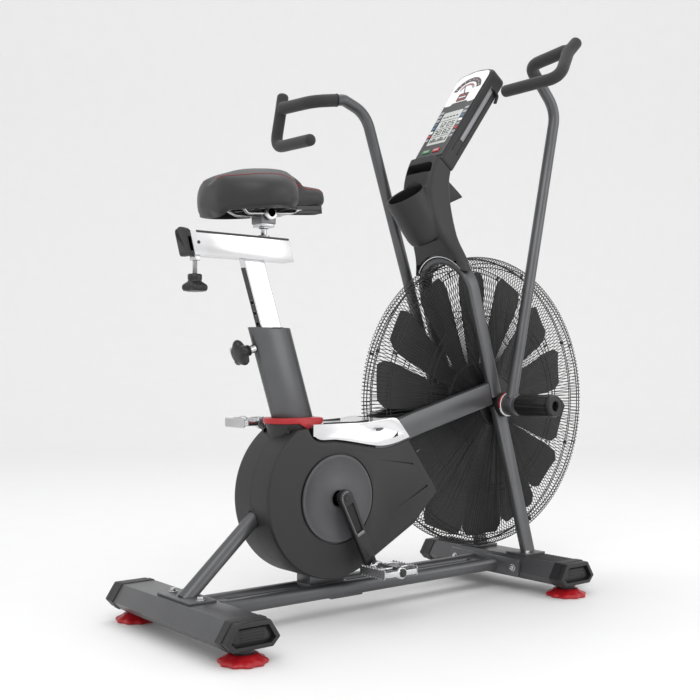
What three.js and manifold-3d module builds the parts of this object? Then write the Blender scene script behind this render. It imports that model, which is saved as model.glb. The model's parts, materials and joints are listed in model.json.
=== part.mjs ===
// Air bike: a stationary bicycle whose pedals and two swinging arms drive a caged fan wheel.
// Millimetres. +X points forward (towards the fan), +Y to the rider's left, +Z up.
// Everything is drawn with x = 0 over the rear feet; the last group moves the origin to the
// floor under the middle of the bike.

import * as THREE from 'three';
import { mergeVertices } from 'three/addons/utils/BufferGeometryUtils.js';
import Module from 'manifold-3d';

const wasm = await Module();
wasm.setup();

// ---------------------------------------------------------------- driving dimensions

const MIDSHIP = 554; // from the rear feet forward to the middle of the bike
const GAP = 0.3; // air between neighbouring pieces

const WHEELBASE = 903; // rear feet to front feet
const STABILIZER = { half: 225, capEnd: 243, top: 81, bottom: 30, wall: 3 };
const FOOT = { y: 206, radius: 46, neck: 24, stem: 6, lobes: 10 };
const RAIL = { y: 33, width: 30, bottom: 43, top: 73 };

const HUB = { x: 815, z: 450 }; // fan axis, arm pivot and foot peg axis
const CRANK = { x: 325, z: 264, length: 168, angle: 25.5, arm: 88, armThick: 14 };
const FORK = { y: 80, width: 36, thick: 19, lean: 0.267, offset: -12, crown: 364 };
const BOOM = { inner: 47.5, thick: 19, height: 54, slope: 0.2976 };
// The cage sits a little forward of and above the fan's axis.
const CAGE = { x: 817, z: 457, rim: 350, edge: 337, face: 43, hub: 58, wire: 5, spokes: 8 };
const FAN = { blades: 14, disc: 100, tip: 325, pitch: 12 };
const PULLEY = { crank: 90, fan: 20, y0: 26, y1: 38 };
const SHROUD = { half: 70, wall: 2.7, drum: 175 };

const SEAT = { x: 257, z: 430, lean: -17.6, tubeTop: 622, postWide: 50, postThick: 20 };
const SEAT_RAIL = { rear: 0, front: 240, bottom: 762, top: 810, width: 40, wall: 2.5 };
const SADDLE = { rimZ: 845, topZ: 951 };

const ARM = { radius: 13.5, bossInner: 106, bossOuter: 140, right: 14.1, left: -19.0 };
const GRIP = { arm: 15.5, bar: 14.5 };
const PEG = { inner: 140.5, outer: 252, radius: 26 };
const CONSOLE = { x: 653, z: 1040, lean: 35.5, length: 298, depth: 50, low: 50, high: 60 };
const BOTTLE = { x: 580, z: 943, lean: 35.1, outer: 49, inner: 44, depth: 122 };

const RADIAN = Math.PI / 180;

// ---------------------------------------------------------------- materials

function paint(color, roughness, metalness) {
  return new THREE.MeshStandardMaterial({ color, roughness, metalness });
}

const FRAME_GREY = paint(0x4a4b4d, 0.38, 0.6);
const BLACK_PLASTIC = paint(0x1d1d1f, 0.55, 0.0);
const DARK_PLASTIC = paint(0x111112, 0.45, 0.0);
const DISC_GREY = paint(0x47454b, 0.4, 0.1);
const RED_PLASTIC = paint(0xb81722, 0.4, 0.0);
const CHROME = paint(0xe6e6e6, 0.12, 1.0);
const STEEL = paint(0xa9abad, 0.3, 1.0);
const BLACK_WIRE = paint(0x131313, 0.35, 0.4);
const FAN_BLACK = paint(0x262626, 0.5, 0.1);
const FOAM = paint(0x2c2c2d, 0.9, 0.0);
const LEATHER = paint(0x1b1b1c, 0.6, 0.0);
const BELT_RUBBER = paint(0x151515, 0.8, 0.0);
const PANEL = paint(0x18181a, 0.3, 0.0);
const SCREEN = paint(0xb9bfbd, 0.2, 0.0);
const GREEN_KEY = paint(0x2c8a4c, 0.45, 0.0);
const RED_KEY = paint(0xa8232b, 0.45, 0.0);

// ---------------------------------------------------------------- solid helpers

// Closed solid from a three.js geometry, turned outwards when its faces point in.
function solid(geometry) {
  const bare = new THREE.BufferGeometry();
  bare.setAttribute('position', geometry.getAttribute('position').clone());
  if (geometry.index) bare.setIndex(geometry.index.clone());
  const merged = mergeVertices(bare, 1e-3);
  const vertices = new Float32Array(merged.getAttribute('position').array);
  const triangles = dropSlivers(merged.index.array);
  if (signedVolume(vertices, triangles) < 0) flip(triangles);
  return new wasm.Manifold(new wasm.Mesh({ numProp: 3, vertProperties: vertices, triVerts: triangles }));
}

// Triangles that keep three different corners.
function dropSlivers(index) {
  const kept = [];
  for (let i = 0; i < index.length; i += 3) {
    const [a, b, c] = [index[i], index[i + 1], index[i + 2]];
    if (a !== b && b !== c && a !== c) kept.push(a, b, c);
  }
  return Uint32Array.from(kept);
}

function flip(triangles) {
  for (let i = 0; i < triangles.length; i += 3) {
    const first = triangles[i];
    triangles[i] = triangles[i + 1];
    triangles[i + 1] = first;
  }
}

function signedVolume(v, t) {
  let sum = 0;
  for (let i = 0; i < t.length; i += 3) {
    const [a, b, c] = [3 * t[i], 3 * t[i + 1], 3 * t[i + 2]];
    sum += v[a] * (v[b + 1] * v[c + 2] - v[b + 2] * v[c + 1]);
    sum += v[a + 1] * (v[b + 2] * v[c] - v[b] * v[c + 2]);
    sum += v[a + 2] * (v[b] * v[c + 1] - v[b + 1] * v[c]);
  }
  return sum / 6;
}

// Mesh of a finished solid.
function meshOf(name, shape, material) {
  const data = shape.getMesh();
  const geometry = new THREE.BufferGeometry();
  geometry.setAttribute('position', new THREE.BufferAttribute(new Float32Array(data.vertProperties), 3));
  geometry.setIndex(new THREE.BufferAttribute(new Uint32Array(data.triVerts), 1));
  geometry.computeVertexNormals();
  const mesh = new THREE.Mesh(geometry, material);
  mesh.name = name;
  return mesh;
}

function union(...parts) {
  return parts.reduce((whole, part) => whole.add(part));
}

function cut(whole, ...tools) {
  return tools.reduce((rest, tool) => rest.subtract(tool), whole);
}

// The biggest of the separate bodies in a shape, without the slivers a cut can leave beside it.
function largest(shape) {
  return shape.decompose().sort((a, b) => b.volume() - a.volume())[0];
}

function box(x0, x1, y0, y1, z0, z1) {
  const geometry = new THREE.BoxGeometry(x1 - x0, y1 - y0, z1 - z0);
  geometry.translate((x0 + x1) / 2, (y0 + y1) / 2, (z0 + z1) / 2);
  return solid(geometry);
}

// Cylinder along Y between y0 and y1, centred on (x, z).
function cylinderY(x, z, radius, y0, y1, sides = 24) {
  const geometry = new THREE.CylinderGeometry(radius, radius, y1 - y0, sides);
  geometry.translate(x, (y0 + y1) / 2, z);
  return solid(geometry);
}

function cylinderZ(x, y, radius, z0, z1, sides = 24) {
  const geometry = new THREE.CylinderGeometry(radius, radius, z1 - z0, sides);
  geometry.rotateX(Math.PI / 2);
  geometry.translate(x, y, (z0 + z1) / 2);
  return solid(geometry);
}

// Body of revolution about a line parallel to Y; the profile is a list of [radius, y].
function latheY(x, z, profile, sides = 24) {
  const points = profile.map(([radius, y]) => new THREE.Vector2(radius, y));
  const geometry = new THREE.LatheGeometry(points, sides);
  geometry.translate(x, 0, z);
  return solid(geometry);
}

function latheZ(x, y, profile, sides = 24) {
  const points = profile.map(([radius, z]) => new THREE.Vector2(radius, z));
  const geometry = new THREE.LatheGeometry(points, sides);
  geometry.rotateX(Math.PI / 2);
  geometry.translate(x, y, 0);
  return solid(geometry);
}

function outline(points) {
  return new THREE.Shape(points.map(([a, b]) => new THREE.Vector2(a, b)));
}

// Prism of a side-view (x, z) outline between y0 and y1.
function prismY(shape, y0, y1, curveSegments = 12) {
  const geometry = new THREE.ExtrudeGeometry(shape, { depth: y1 - y0, bevelEnabled: false, curveSegments });
  geometry.rotateX(Math.PI / 2);
  geometry.translate(0, y1, 0);
  return solid(geometry);
}

// Prism of a plan-view (x, y) outline between z0 and z1.
function prismZ(shape, z0, z1, curveSegments = 12) {
  const geometry = new THREE.ExtrudeGeometry(shape, { depth: z1 - z0, bevelEnabled: false, curveSegments });
  geometry.translate(0, 0, z0);
  return solid(geometry);
}

// Prism of a rear-view (y, z) outline between x0 and x1.
function prismX(shape, x0, x1, curveSegments = 12) {
  const geometry = new THREE.ExtrudeGeometry(shape, { depth: x1 - x0, bevelEnabled: false, curveSegments });
  geometry.rotateX(Math.PI / 2);
  geometry.rotateZ(Math.PI / 2);
  geometry.translate(x0, 0, 0);
  return solid(geometry);
}

function circleShape(radius) {
  const shape = new THREE.Shape();
  shape.absarc(0, 0, radius, 0, 2 * Math.PI);
  return shape;
}

// Rectangle with rounded corners, centred on (cx, cy).
function roundedRect(width, height, radius, cx = 0, cy = 0) {
  const [w, h] = [width / 2 - radius, height / 2 - radius];
  const shape = new THREE.Shape();
  shape.absarc(cx + w, cy + h, radius, 0, Math.PI / 2);
  shape.absarc(cx - w, cy + h, radius, Math.PI / 2, Math.PI);
  shape.absarc(cx - w, cy - h, radius, Math.PI, 1.5 * Math.PI);
  shape.absarc(cx + w, cy - h, radius, 1.5 * Math.PI, 2 * Math.PI);
  shape.closePath();
  return shape;
}

function ellipseShape(width, height) {
  const shape = new THREE.Shape();
  shape.absellipse(0, 0, width / 2, height / 2, 0, 2 * Math.PI);
  return shape;
}

// Path that visits its knots one by one, so that a sweep has one ring of points on each knot.
class KnotPath extends THREE.Curve {
  constructor(knots) {
    super();
    this.knots = knots;
  }

  getPointAt(u, target = new THREE.Vector3()) {
    return target.copy(this.knots[Math.round(u * (this.knots.length - 1))]);
  }

  getTangentAt(u, target = new THREE.Vector3()) {
    const last = this.knots.length - 1;
    const i = Math.round(u * last);
    const after = this.knots[Math.min(i + 1, last)];
    const before = this.knots[Math.max(i - 1, 0)];
    return target.copy(after).sub(before).normalize();
  }
}

// Knots of a bent tube: straight between the corners, each corner rounded by its own radius.
function bentKnots(corners, bends, steps = 4) {
  const points = corners.map((p) => new THREE.Vector3(...p));
  const knots = [points[0]];
  for (let i = 1; i < points.length - 1; i += 1) {
    const back = points[i - 1].clone().sub(points[i]).normalize();
    const ahead = points[i + 1].clone().sub(points[i]).normalize();
    const half = back.angleTo(ahead) / 2;
    const reach = bends[i - 1] / Math.tan(half);
    const start = points[i].clone().addScaledVector(back, reach);
    const end = points[i].clone().addScaledVector(ahead, reach);
    const curve = new THREE.QuadraticBezierCurve3(start, points[i], end);
    knots.push(...curve.getPoints(steps));
  }
  knots.push(points[points.length - 1]);
  return knots;
}

function sweep(section, knots, curveSegments = 4) {
  const extrudePath = new KnotPath(knots);
  const steps = knots.length - 1;
  const options = { steps, bevelEnabled: false, extrudePath, curveSegments };
  return solid(new THREE.ExtrudeGeometry(section, options));
}

function tube(corners, bends, radius, sides = 12) {
  return sweep(circleShape(radius), bentKnots(corners, bends), sides / 2);
}

// Mirror image across the middle plane of the bike.
function mirrored(shape) {
  return shape.mirror([0, 1, 0]);
}

const keptBelow = (z) => box(-400, 1600, -400, 400, z, 2000);
const keptAbove = (z) => box(-400, 1600, -400, 400, -200, z);

// ---------------------------------------------------------------- base and stabilizers

// Six-sided section of a stabilizer, shrunk by inset on every side.
function stabilizerSection(x, inset = 0) {
  const top = STABILIZER.top - inset;
  const bottom = STABILIZER.bottom + inset;
  const [upper, middle, lower] = [37 - 0.6 * inset, 59 - 1.3 * inset, 43 - 0.6 * inset];
  const waist = 47;
  return outline([
    [x - lower, bottom], [x + lower, bottom], [x + middle, waist],
    [x + upper, top], [x - upper, top], [x - middle, waist],
  ]);
}

function stabilizer(x) {
  const { half, wall, bottom } = STABILIZER;
  let body = prismY(stabilizerSection(x), -half, half);
  body = cut(body, prismY(stabilizerSection(x, wall), -half - 1, half + 1));
  for (const side of [-1, 1]) {
    body = cut(body, cylinderZ(x, side * FOOT.y, FOOT.stem + 0.7, bottom - 2, bottom + 8));
  }
  return body;
}

const WHEEL = { x: 992, z: 40, y: 165, radius: 25, half: 10, pin: 4 };

// The front stabilizer carries a forked lug with a pin for each transport wheel.
function frontStabilizer() {
  let body = stabilizer(WHEELBASE);
  for (const side of [-1, 1]) {
    for (const cheek of [-1, 1]) {
      const y = side * WHEEL.y + cheek * (WHEEL.half + 3.5);
      const lug = outline([[952, 60], [1000, 50], [1000, 30], [940, 36]]);
      const plate = prismY(lug, y - 2, y + 2);
      body = union(body, cut(plate, prismY(stabilizerSection(WHEELBASE, 1), -300, 300)));
    }
    const [y0, y1] = [side * WHEEL.y - WHEEL.half - 3, side * WHEEL.y + WHEEL.half + 3];
    body = union(body, cylinderY(WHEEL.x, WHEEL.z, WHEEL.pin, y0, y1, 16));
  }
  return body;
}

function transportWheel(side) {
  const { x, z, radius, half, pin } = WHEEL;
  const y = side * WHEEL.y;
  const bore = pin + 0.4;
  return latheY(x, z, [
    [bore, y - half], [radius - 2, y - half], [radius, y - half + 2], [radius, y + half - 2],
    [radius - 2, y + half], [bore, y + half], [bore, y - half],
  ], 20);
}

function endCap(x, side) {
  const { half, capEnd } = STABILIZER;
  const cap = prismY(stabilizerSection(x, 0.4), half + GAP, capEnd);
  const pocket = outline([
    [x - 42, 49], [x - 33, 40], [x + 33, 40], [x + 42, 49], [x + 26, 71], [x - 26, 71],
  ]);
  const shape = cut(cap, prismY(pocket, capEnd - 12, capEnd + 1));
  return side < 0 ? mirrored(shape) : shape;
}

// Levelling foot: a scalloped dished disc on a threaded stem.
function foot(x, side) {
  const y = side * FOOT.y;
  const profile = [[0, 0], [FOOT.radius - 3, 0], [FOOT.radius, 5], [34, 14], [FOOT.neck, 18], [0, 18]];
  const geometry = new THREE.LatheGeometry(profile.map(([r, z]) => new THREE.Vector2(r, z)), 2 * FOOT.lobes);
  geometry.rotateX(Math.PI / 2);
  const position = geometry.getAttribute('position');
  for (let i = 0; i < position.count; i += 1) {
    const angle = Math.atan2(position.getY(i), position.getX(i));
    const reach = Math.hypot(position.getX(i), position.getY(i));
    const scale = reach > 33 ? 1 + 0.045 * Math.cos(FOOT.lobes * angle) : 1;
    position.setXY(i, position.getX(i) * scale, position.getY(i) * scale);
  }
  const neck = cylinderZ(0, 0, FOOT.neck - 1, 15, 29.4, 16);
  const stem = cylinderZ(0, 0, FOOT.stem, 20, 60, 12);
  return union(solid(geometry), neck, stem).translate([x, y, 0]);
}

// Two long rails joined by cross plates, with a flange that bolts to the front stabilizer.
function baseFrame() {
  const { y, width, bottom, top } = RAIL;
  const [x0, x1] = [60, 838];
  const middle = (bottom + top) / 2;
  let body = prismX(roundedRect(width, top - bottom, 12, y, middle), x0, x1, 4);
  body = union(body, prismX(roundedRect(width, top - bottom, 12, -y, middle), x0, x1, 4));
  for (const [a, b] of [[62, 96], [286, 384], [800, 838]]) {
    body = union(body, box(a, b, -y, y, middle - 8, middle + 8));
  }
  body = union(body, box(332, 418, -y - 6, y + 6, bottom - 3, bottom + 4));
  body = union(body, box(286, 384, -30, 30, middle, top + 1));
  return union(body, box(837, 843, -115, 115, 36, 78));
}

// ---------------------------------------------------------------- main frame

// Point on the boom's middle line above x.
const boomZ = (x) => 406.5 + BOOM.slope * (x - 540);

// Box arm from the drive housing to the hub; air makes it thicker all round.
function boomArm(side, air = 0) {
  const y = side * (BOOM.inner + BOOM.thick / 2);
  const corners = [[430, y, boomZ(430)], [560, y, boomZ(560)], [773, side * FORK.y, boomZ(773)]];
  const section = roundedRect(BOOM.thick + 2 * air, BOOM.height + 2 * air, 4);
  return sweep(section, bentKnots(corners, [120]), 1);
}

// Rear strut, crank shell, gusset and the forked boom, welded into one piece.
function mainFrame() {
  const plate = box(-30, 30, -65, 65, STABILIZER.top + GAP, 86);
  const strut = cut(tube([[-6, 0, 78], [208, 0, 269]], [], 16, 16), keptAbove(83));
  const gusset = outline([
    [194, 240], [212, 286], [246, 299.5], [343, 330.3], [352, 352], [430, 372],
    [462, 372], [462, 340], [372, 308], [352, 250], [325, 238], [290, 238],
  ]);
  const shell = cylinderY(CRANK.x, CRANK.z, 27, -24, 24);
  const cross = box(430, 462, -62, 62, 344, 372);
  const footing = outline([[292, 112], [372, 112], [350, 245], [310, 245]]);
  let body = union(plate, strut, prismY(gusset, -14, 14), shell, cross, boomArm(1), boomArm(-1));
  body = union(body, prismY(footing, -12, 12), box(286, 378, -24, 24, RAIL.top + 1 + GAP, 116));
  return cut(body, cylinderY(CRANK.x, CRANK.z, 17.9, -40, 40));
}

// Middle line of a fork leg at height z.
const legX = (z) => HUB.x + FORK.offset - FORK.lean * (z - HUB.z);

// Path of the fork: up the right leg, over the fan and down the left leg.
function forkKnots() {
  const length = Math.hypot(1, FORK.lean);
  const up = new THREE.Vector3(-FORK.lean / length, 0, 1 / length);
  const root = new THREE.Vector3(legX(HUB.z), 0, HUB.z);
  const arch = FORK.crown - FORK.y;
  const at = (y, along) => root.clone().addScaledVector(up, along).setY(y);
  const knots = [at(-FORK.y, 0)];
  const steps = 14;
  for (let i = 0; i <= steps; i += 1) {
    const angle = -Math.PI / 2 + (Math.PI * i) / steps;
    knots.push(at(FORK.y * Math.sin(angle), arch + FORK.y * Math.cos(angle)));
  }
  knots.push(at(FORK.y, 0));
  return knots;
}

const hubClearance = () => cylinderY(HUB.x, HUB.z, 28.8, -200, 200, 32);

// Mast inside the plastic cover.
const MAST = { foot: [696, 0, 812], head: [650, 0, 985], radius: 16 };

function fork() {
  const legs = sweep(roundedRect(FORK.thick, FORK.width, 9), forkKnots(), 1);
  const mast = tube([MAST.foot, MAST.head], [], MAST.radius, 16);
  const root = prismY(outline([[678, 798], [724, 798], [716, 818], [674, 830]]), -18, 18);
  return cut(union(legs, mast, root), hubClearance(), cylinderY(CAGE.x, CAGE.z, CAGE.rim + 5, -50, 50, 48));
}

function frontStrut(side) {
  const y = side * FORK.y;
  const corners = [[legX(HUB.z), y, HUB.z], [legX(HUB.z) + 112, y, 72]];
  const bar = sweep(roundedRect(FORK.thick, FORK.width, 5), bentKnots(corners, []), 1);
  const plate = box(868, 938, y - 32, y + 32, STABILIZER.top + GAP, 87);
  return cut(union(cut(bar, keptAbove(82)), plate), hubClearance());
}

// Hub shell that the fork leg, the strut and the boom are welded to.
function hubShell(side) {
  const shell = latheY(HUB.x, HUB.z, [
    [7.6, 64], [28, 64], [28, 100], [26, 104], [7.6, 104], [7.6, 64],
  ], 20);
  return side < 0 ? mirrored(shell) : shell;
}

// ---------------------------------------------------------------- drive

function crankArm(side) {
  const { x, z, length, arm, armThick } = CRANK;
  const y0 = arm;
  const y1 = arm + armThick;
  const shape = new THREE.Shape();
  shape.absarc(0, 0, 17, -0.06, Math.PI + 0.06);
  shape.absarc(0, -length, 12.5, Math.PI + 0.06, 2 * Math.PI - 0.06);
  shape.closePath();
  let body = prismY(shape, y0, y1, 8);
  body = cut(body, cylinderY(0, 0, 8.9, y0 - 1, y1 + 1, 24));
  body = union(body, cylinderY(0, -length, 6, y1 - 3, 194, 16));
  const turned = body.rotate([0, -CRANK.angle, 0]).translate([x, 0, z]);
  if (side < 0) return mirrored(turned);
  return body.rotate([0, 180 - CRANK.angle, 0]).translate([x, 0, z]);
}

const pedalAt = (side) => ({
  x: CRANK.x - side * CRANK.length * Math.sin(CRANK.angle * RADIAN),
  z: CRANK.z + side * CRANK.length * Math.cos(CRANK.angle * RADIAN),
});

// Cage pedal: a ring plate around a barrel that turns on the spindle.
function pedal(side) {
  const { x, z } = pedalAt(side);
  const [y0, y1] = [106, 198];
  const middle = (y0 + y1) / 2;
  const ring = roundedRect(92, y1 - y0, 18, 0, middle);
  ring.holes.push(roundedRect(84, y1 - y0 - 8, 14, 0, middle));
  let body = prismZ(ring, -11, 11, 2);
  body = union(body, box(-44, 44, y0 + 1, y0 + 5, -8, 8), box(-44, 44, y1 - 5, y1 - 1, -8, 8));
  body = union(body, cylinderY(0, 0, 12, y0 + 1, y1 - 1, 14));
  body = cut(body, cylinderY(0, 0, 6.7, y0 - 5, y1 - 3, 14));
  const placed = body.translate([x, 0, z]);
  return side < 0 ? mirrored(placed) : placed;
}

function pulley(centre, bore, radius, sides) {
  const { y0, y1 } = PULLEY;
  return latheY(centre.x, centre.z, [[bore, y0], [radius, y0], [radius, y1], [bore, y1], [bore, y0]], sides);
}

// Outline of a belt that wraps both pulleys, pushed out by offset.
function beltLoop(offset) {
  const [dx, dz] = [HUB.x - CRANK.x, HUB.z - CRANK.z];
  const axis = Math.atan2(dz, dx);
  const spread = Math.acos((PULLEY.crank - PULLEY.fan) / Math.hypot(dx, dz));
  const shape = new THREE.Shape();
  shape.absarc(CRANK.x, CRANK.z, PULLEY.crank + offset, axis + spread, axis - spread + 2 * Math.PI);
  shape.absarc(HUB.x, HUB.z, PULLEY.fan + offset, axis - spread, axis + spread);
  shape.closePath();
  return shape;
}

function driveBelt() {
  const loop = beltLoop(3.1);
  loop.holes.push(beltLoop(0.5));
  return prismY(loop, PULLEY.y0 + 1.7, PULLEY.y1 - 1.7, 10);
}

function crankBearing(side) {
  const ring = latheY(CRANK.x, CRANK.z, [[8.8, 12], [17.6, 12], [17.6, 23], [8.8, 23], [8.8, 12]], 18);
  return side < 0 ? mirrored(ring) : ring;
}

// Fan wheel: a ribbed disc with broad pitched blades.
function fanWheel() {
  let body = latheY(HUB.x, HUB.z, [
    [7.7, -20], [24, -20], [26, -8], [FAN.disc, -6], [FAN.disc, 6], [26, 8], [24, 22], [7.7, 22], [7.7, -20],
  ], 26);
  const root = FAN.disc - 12;
  const { tip } = FAN;
  const blade = outline([[-19, root], [19, root], [58, tip - 14], [48, tip], [-44, tip], [-54, tip - 14]]);
  const flat = prismY(blade, -1.5, 1.5).rotate([0, 0, FAN.pitch]);
  for (let i = 0; i < FAN.blades; i += 1) {
    const turned = flat.rotate([0, (360 * (i - 0.14)) / FAN.blades, 0]);
    body = union(body, turned.translate([HUB.x, 0, HUB.z]));
  }
  return body;
}

// ---------------------------------------------------------------- fan cage

// Square-section ring about the fan axis.
function cageRing(radius, y, wide, thick) {
  const [r0, r1] = [radius - wide / 2, radius + wide / 2];
  const [y0, y1] = [y - thick / 2, y + thick / 2];
  return latheY(0, 0, [[r0, y0], [r1, y0], [r1, y1], [r0, y1], [r0, y0]], 36);
}

// Half a cage: rim ring, edge ring and hub plate on curved spokes.
function cageHalf(side) {
  const { rim, edge, face, hub, wire } = CAGE;
  let body = union(
    cageRing(rim - wire / 2, 3.5, wire, 5.5),
    cageRing(edge, face - 2, wire, wire),
    latheY(0, 0, [[17, hub], [52, hub], [52, hub + 4], [17, hub + 4], [17, hub]], 18),
  );
  const profile = [[rim - 3, 4], [edge + 3, face - 5], [edge - 2, face - 2], [232, face + 2], [48, hub + 2]];
  const square = outline([[-2, -2], [2, -2], [2, 2], [-2, 2]]);
  const spoke = sweep(square, profile.map(([r, y]) => new THREE.Vector3(r, y, 0)), 1);
  for (let i = 0; i < CAGE.spokes; i += 1) {
    const turn = (360 / CAGE.spokes) * (i + 0.5);
    const overBelt = side > 0 && turn > 180 && turn < 220;
    if (!overBelt) body = union(body, spoke.rotate([0, turn, 0]));
  }
  const placed = body.translate([CAGE.x, 0, CAGE.z]);
  return side < 0 ? mirrored(placed) : placed;
}

// ---------------------------------------------------------------- plastic covers of the drive

const cageClearance = () => union(
  cylinderY(CAGE.x, CAGE.z, CAGE.rim + 4, -CAGE.face - 2.5, CAGE.face + 2.5, 64),
  cylinderY(CAGE.x, CAGE.z, 300, -CAGE.face - 7, CAGE.face + 7, 48),
);

// Line where the black shroud meets the bright top cover, raised by lift.
function coverLine(lift) {
  return [[536, 381 + lift], [505, 370 + lift], [444, 365 + lift], [384, 374 + lift], [320, 385 + lift],
    [290, 394 + lift]];
}

// Side view of the shroud: a drum round the crank with a trunk towards the fan.
function shroudOutline(inset) {
  const radius = SHROUD.drum - inset;
  const shape = new THREE.Shape();
  const i = inset;
  shape.moveTo(227 + 0.5 * i, 408 - i);
  shape.absarc(CRANK.x, CRANK.z, radius, 125 * RADIAN, 295 * RADIAN, false);
  shape.lineTo(549 - 0.4 * i, 184 + i);
  shape.lineTo(624 - 1.2 * i, 254);
  for (const [x, z] of coverLine(-i)) shape.lineTo(x - 0.3 * i, z);
  shape.lineTo(256 - i, 408 - i);
  shape.closePath();
  return shape;
}

// Plan of the neck and collar round the seat tube: round at the back, nearly square at the front.
function neckPlan(x, half, front) {
  const shape = new THREE.Shape();
  shape.absarc(x, 0, half, Math.PI / 2, 1.5 * Math.PI, false);
  shape.lineTo(front - 4, -half);
  shape.lineTo(front, -half + 4);
  shape.lineTo(front, half - 4);
  shape.lineTo(front - 4, half);
  shape.closePath();
  return shape;
}

const neck = () => cut(prismZ(neckPlan(246, 46, 272), 376, 419, 8), box(100, 400, -100, GAP, 300, 500));

function seatTubeBar(width, thick, from, to) {
  const section = ellipseShape(width, thick);
  const options = { depth: to - from, bevelEnabled: false, curveSegments: 12 };
  const geometry = new THREE.ExtrudeGeometry(section, options);
  geometry.translate(0, 0, from);
  return solid(geometry).rotate([0, SEAT.lean, 0]).translate([SEAT.x, 0, SEAT.z]);
}

function shroudHalf(side) {
  const { half, wall } = SHROUD;
  let body = prismY(shroudOutline(0), GAP, half, 14);
  body = cut(body, prismY(shroudOutline(wall), -1, half - wall, 14));
  body = cut(body, box(300, 537, -1, half - wall, 355, 400));
  body = cut(union(body, neck()), prismY(shroudOutline(wall), -1, 44, 14), boomArm(1, 0.7));
  body = cut(body, cageClearance(), seatTubeBar(100, 50, -200, 200));
  body = cut(body, tube([[-6, 0, 78], [300, 0, 351]], [], 17, 16));
  body = cut(body, cylinderY(CRANK.x, CRANK.z, 14, 0, 200, 28));
  body = cut(body, box(284, 380, -26, 26, 60, 125));
  return side < 0 ? mirrored(body) : body;
}

// Round face plate on the drum, behind the crank arm.
function discCover(side) {
  const { half } = SHROUD;
  const plate = latheY(CRANK.x, CRANK.z - 4, [
    [16, half + GAP], [93, half + GAP], [89, half + 3.5], [16, half + 3.5], [16, half + GAP],
  ], 28);
  return side < 0 ? mirrored(plate) : plate;
}

// Bright cover that bridges the shroud halves in front of the seat tube.
function topCover() {
  const { half } = SHROUD;
  const low = coverLine(0.5);
  const top = [[302, 420], [470, 420], [487, 423]];
  const outer = outline([...top, ...low.map(([x, z]) => [x, z])]);
  const inner = outline([[296, 417.4], [470, 417.4], [485, 420], [531, 385], [505, 360], [296, 360]]);
  let body = prismY(outer, -half, half);
  body = cut(body, prismY(inner, -half + 2.4, half - 2.4), seatTubeBar(100, 50, -200, 200));
  return largest(cut(body, cageClearance(), boomArm(1, 0.7), boomArm(-1, 0.7)));
}

function seatCollar() {
  return cut(prismZ(neckPlan(242, 51, 317), 421, 432, 8), seatTubeBar(100, 50, -200, 200));
}

// ---------------------------------------------------------------- seat

function seatTube() {
  const bore = new THREE.ExtrudeGeometry(
    roundedRect(SEAT.postWide + 1.4, SEAT.postThick + 1.4, 4),
    { depth: 500, bevelEnabled: false, curveSegments: 2 },
  );
  bore.translate(0, 0, -200);
  const hole = solid(bore).rotate([0, SEAT.lean, 0]).translate([SEAT.x, 0, SEAT.z]);
  const pinHole = postPinCylinder(5.6, -40, 26);
  return cut(seatTubeBar(98, 48, -118, 260), hole, pinHole, keptBelow(SEAT.tubeTop));
}

// Cylinder square to the seat tube on its rear side, at the height of the locking pin.
const PIN = { height: 171, x: -49 };

function postPinCylinder(radius, from, to) {
  const geometry = new THREE.CylinderGeometry(radius, radius, to - from, 16);
  geometry.rotateZ(Math.PI / 2);
  geometry.translate(PIN.x + (from + to) / 2, 0, PIN.height);
  return solid(geometry).rotate([0, SEAT.lean, 0]).translate([SEAT.x, 0, SEAT.z]);
}

// Post with locking notches down its rear edge.
function seatPost() {
  const section = roundedRect(SEAT.postWide, SEAT.postThick, 3.5);
  section.holes.push(roundedRect(SEAT.postWide - 5, SEAT.postThick - 5, 1.5));
  const geometry = new THREE.ExtrudeGeometry(section, { depth: 400, bevelEnabled: false, curveSegments: 2 });
  geometry.translate(0, 0, 11);
  let body = solid(geometry);
  for (let i = 0; i < 9; i += 1) {
    const z = PIN.height + 23 * (i - 4);
    body = cut(body, box(-SEAT.postWide / 2 - 1, -SEAT.postWide / 2 + 4.5, -4, 4, z - 4, z + 4));
  }
  body = body.rotate([0, SEAT.lean, 0]).translate([SEAT.x, 0, SEAT.z]);
  return cut(body, keptBelow(SEAT_RAIL.bottom - GAP));
}

// Pull knob on a plunger pin, with its guide collar.
function postKnob() {
  const lobes = 5;
  const shape = new THREE.Shape();
  const points = 20;
  for (let i = 0; i <= points; i += 1) {
    const angle = (2 * Math.PI * i) / points;
    const radius = 24 + 3.2 * Math.cos(lobes * angle);
    const [a, b] = [radius * Math.cos(angle), radius * Math.sin(angle)];
    if (i === 0) shape.moveTo(a, b);
    else if (i < points) shape.lineTo(a, b);
  }
  shape.closePath();
  const head = prismX(shape, PIN.x - 48, PIN.x - 29);
  const neck = new THREE.CylinderGeometry(10, 14, 14, 16);
  neck.rotateZ(Math.PI / 2);
  neck.translate(PIN.x - 23, 0, 0);
  const body = union(head, solid(neck)).translate([0, 0, PIN.height]);
  const placed = body.rotate([0, SEAT.lean, 0]).translate([SEAT.x, 0, SEAT.z]);
  const plunger = union(postPinCylinder(5, -30, 20), postPinCylinder(3.4, 15, 23.4));
  return union(placed, postPinCylinder(9, -18, -3), plunger);
}

// Sloped cutting block for the ends of the seat rail; it removes everything past x at mid height.
function slantedEnd(x, forward) {
  const block = forward ? box(0, 400, -100, 100, -200, 200) : box(-400, 0, -100, 100, -200, 200);
  return block.rotate([0, -14, 0]).translate([x, 0, (SEAT_RAIL.bottom + SEAT_RAIL.top) / 2]);
}

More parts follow.
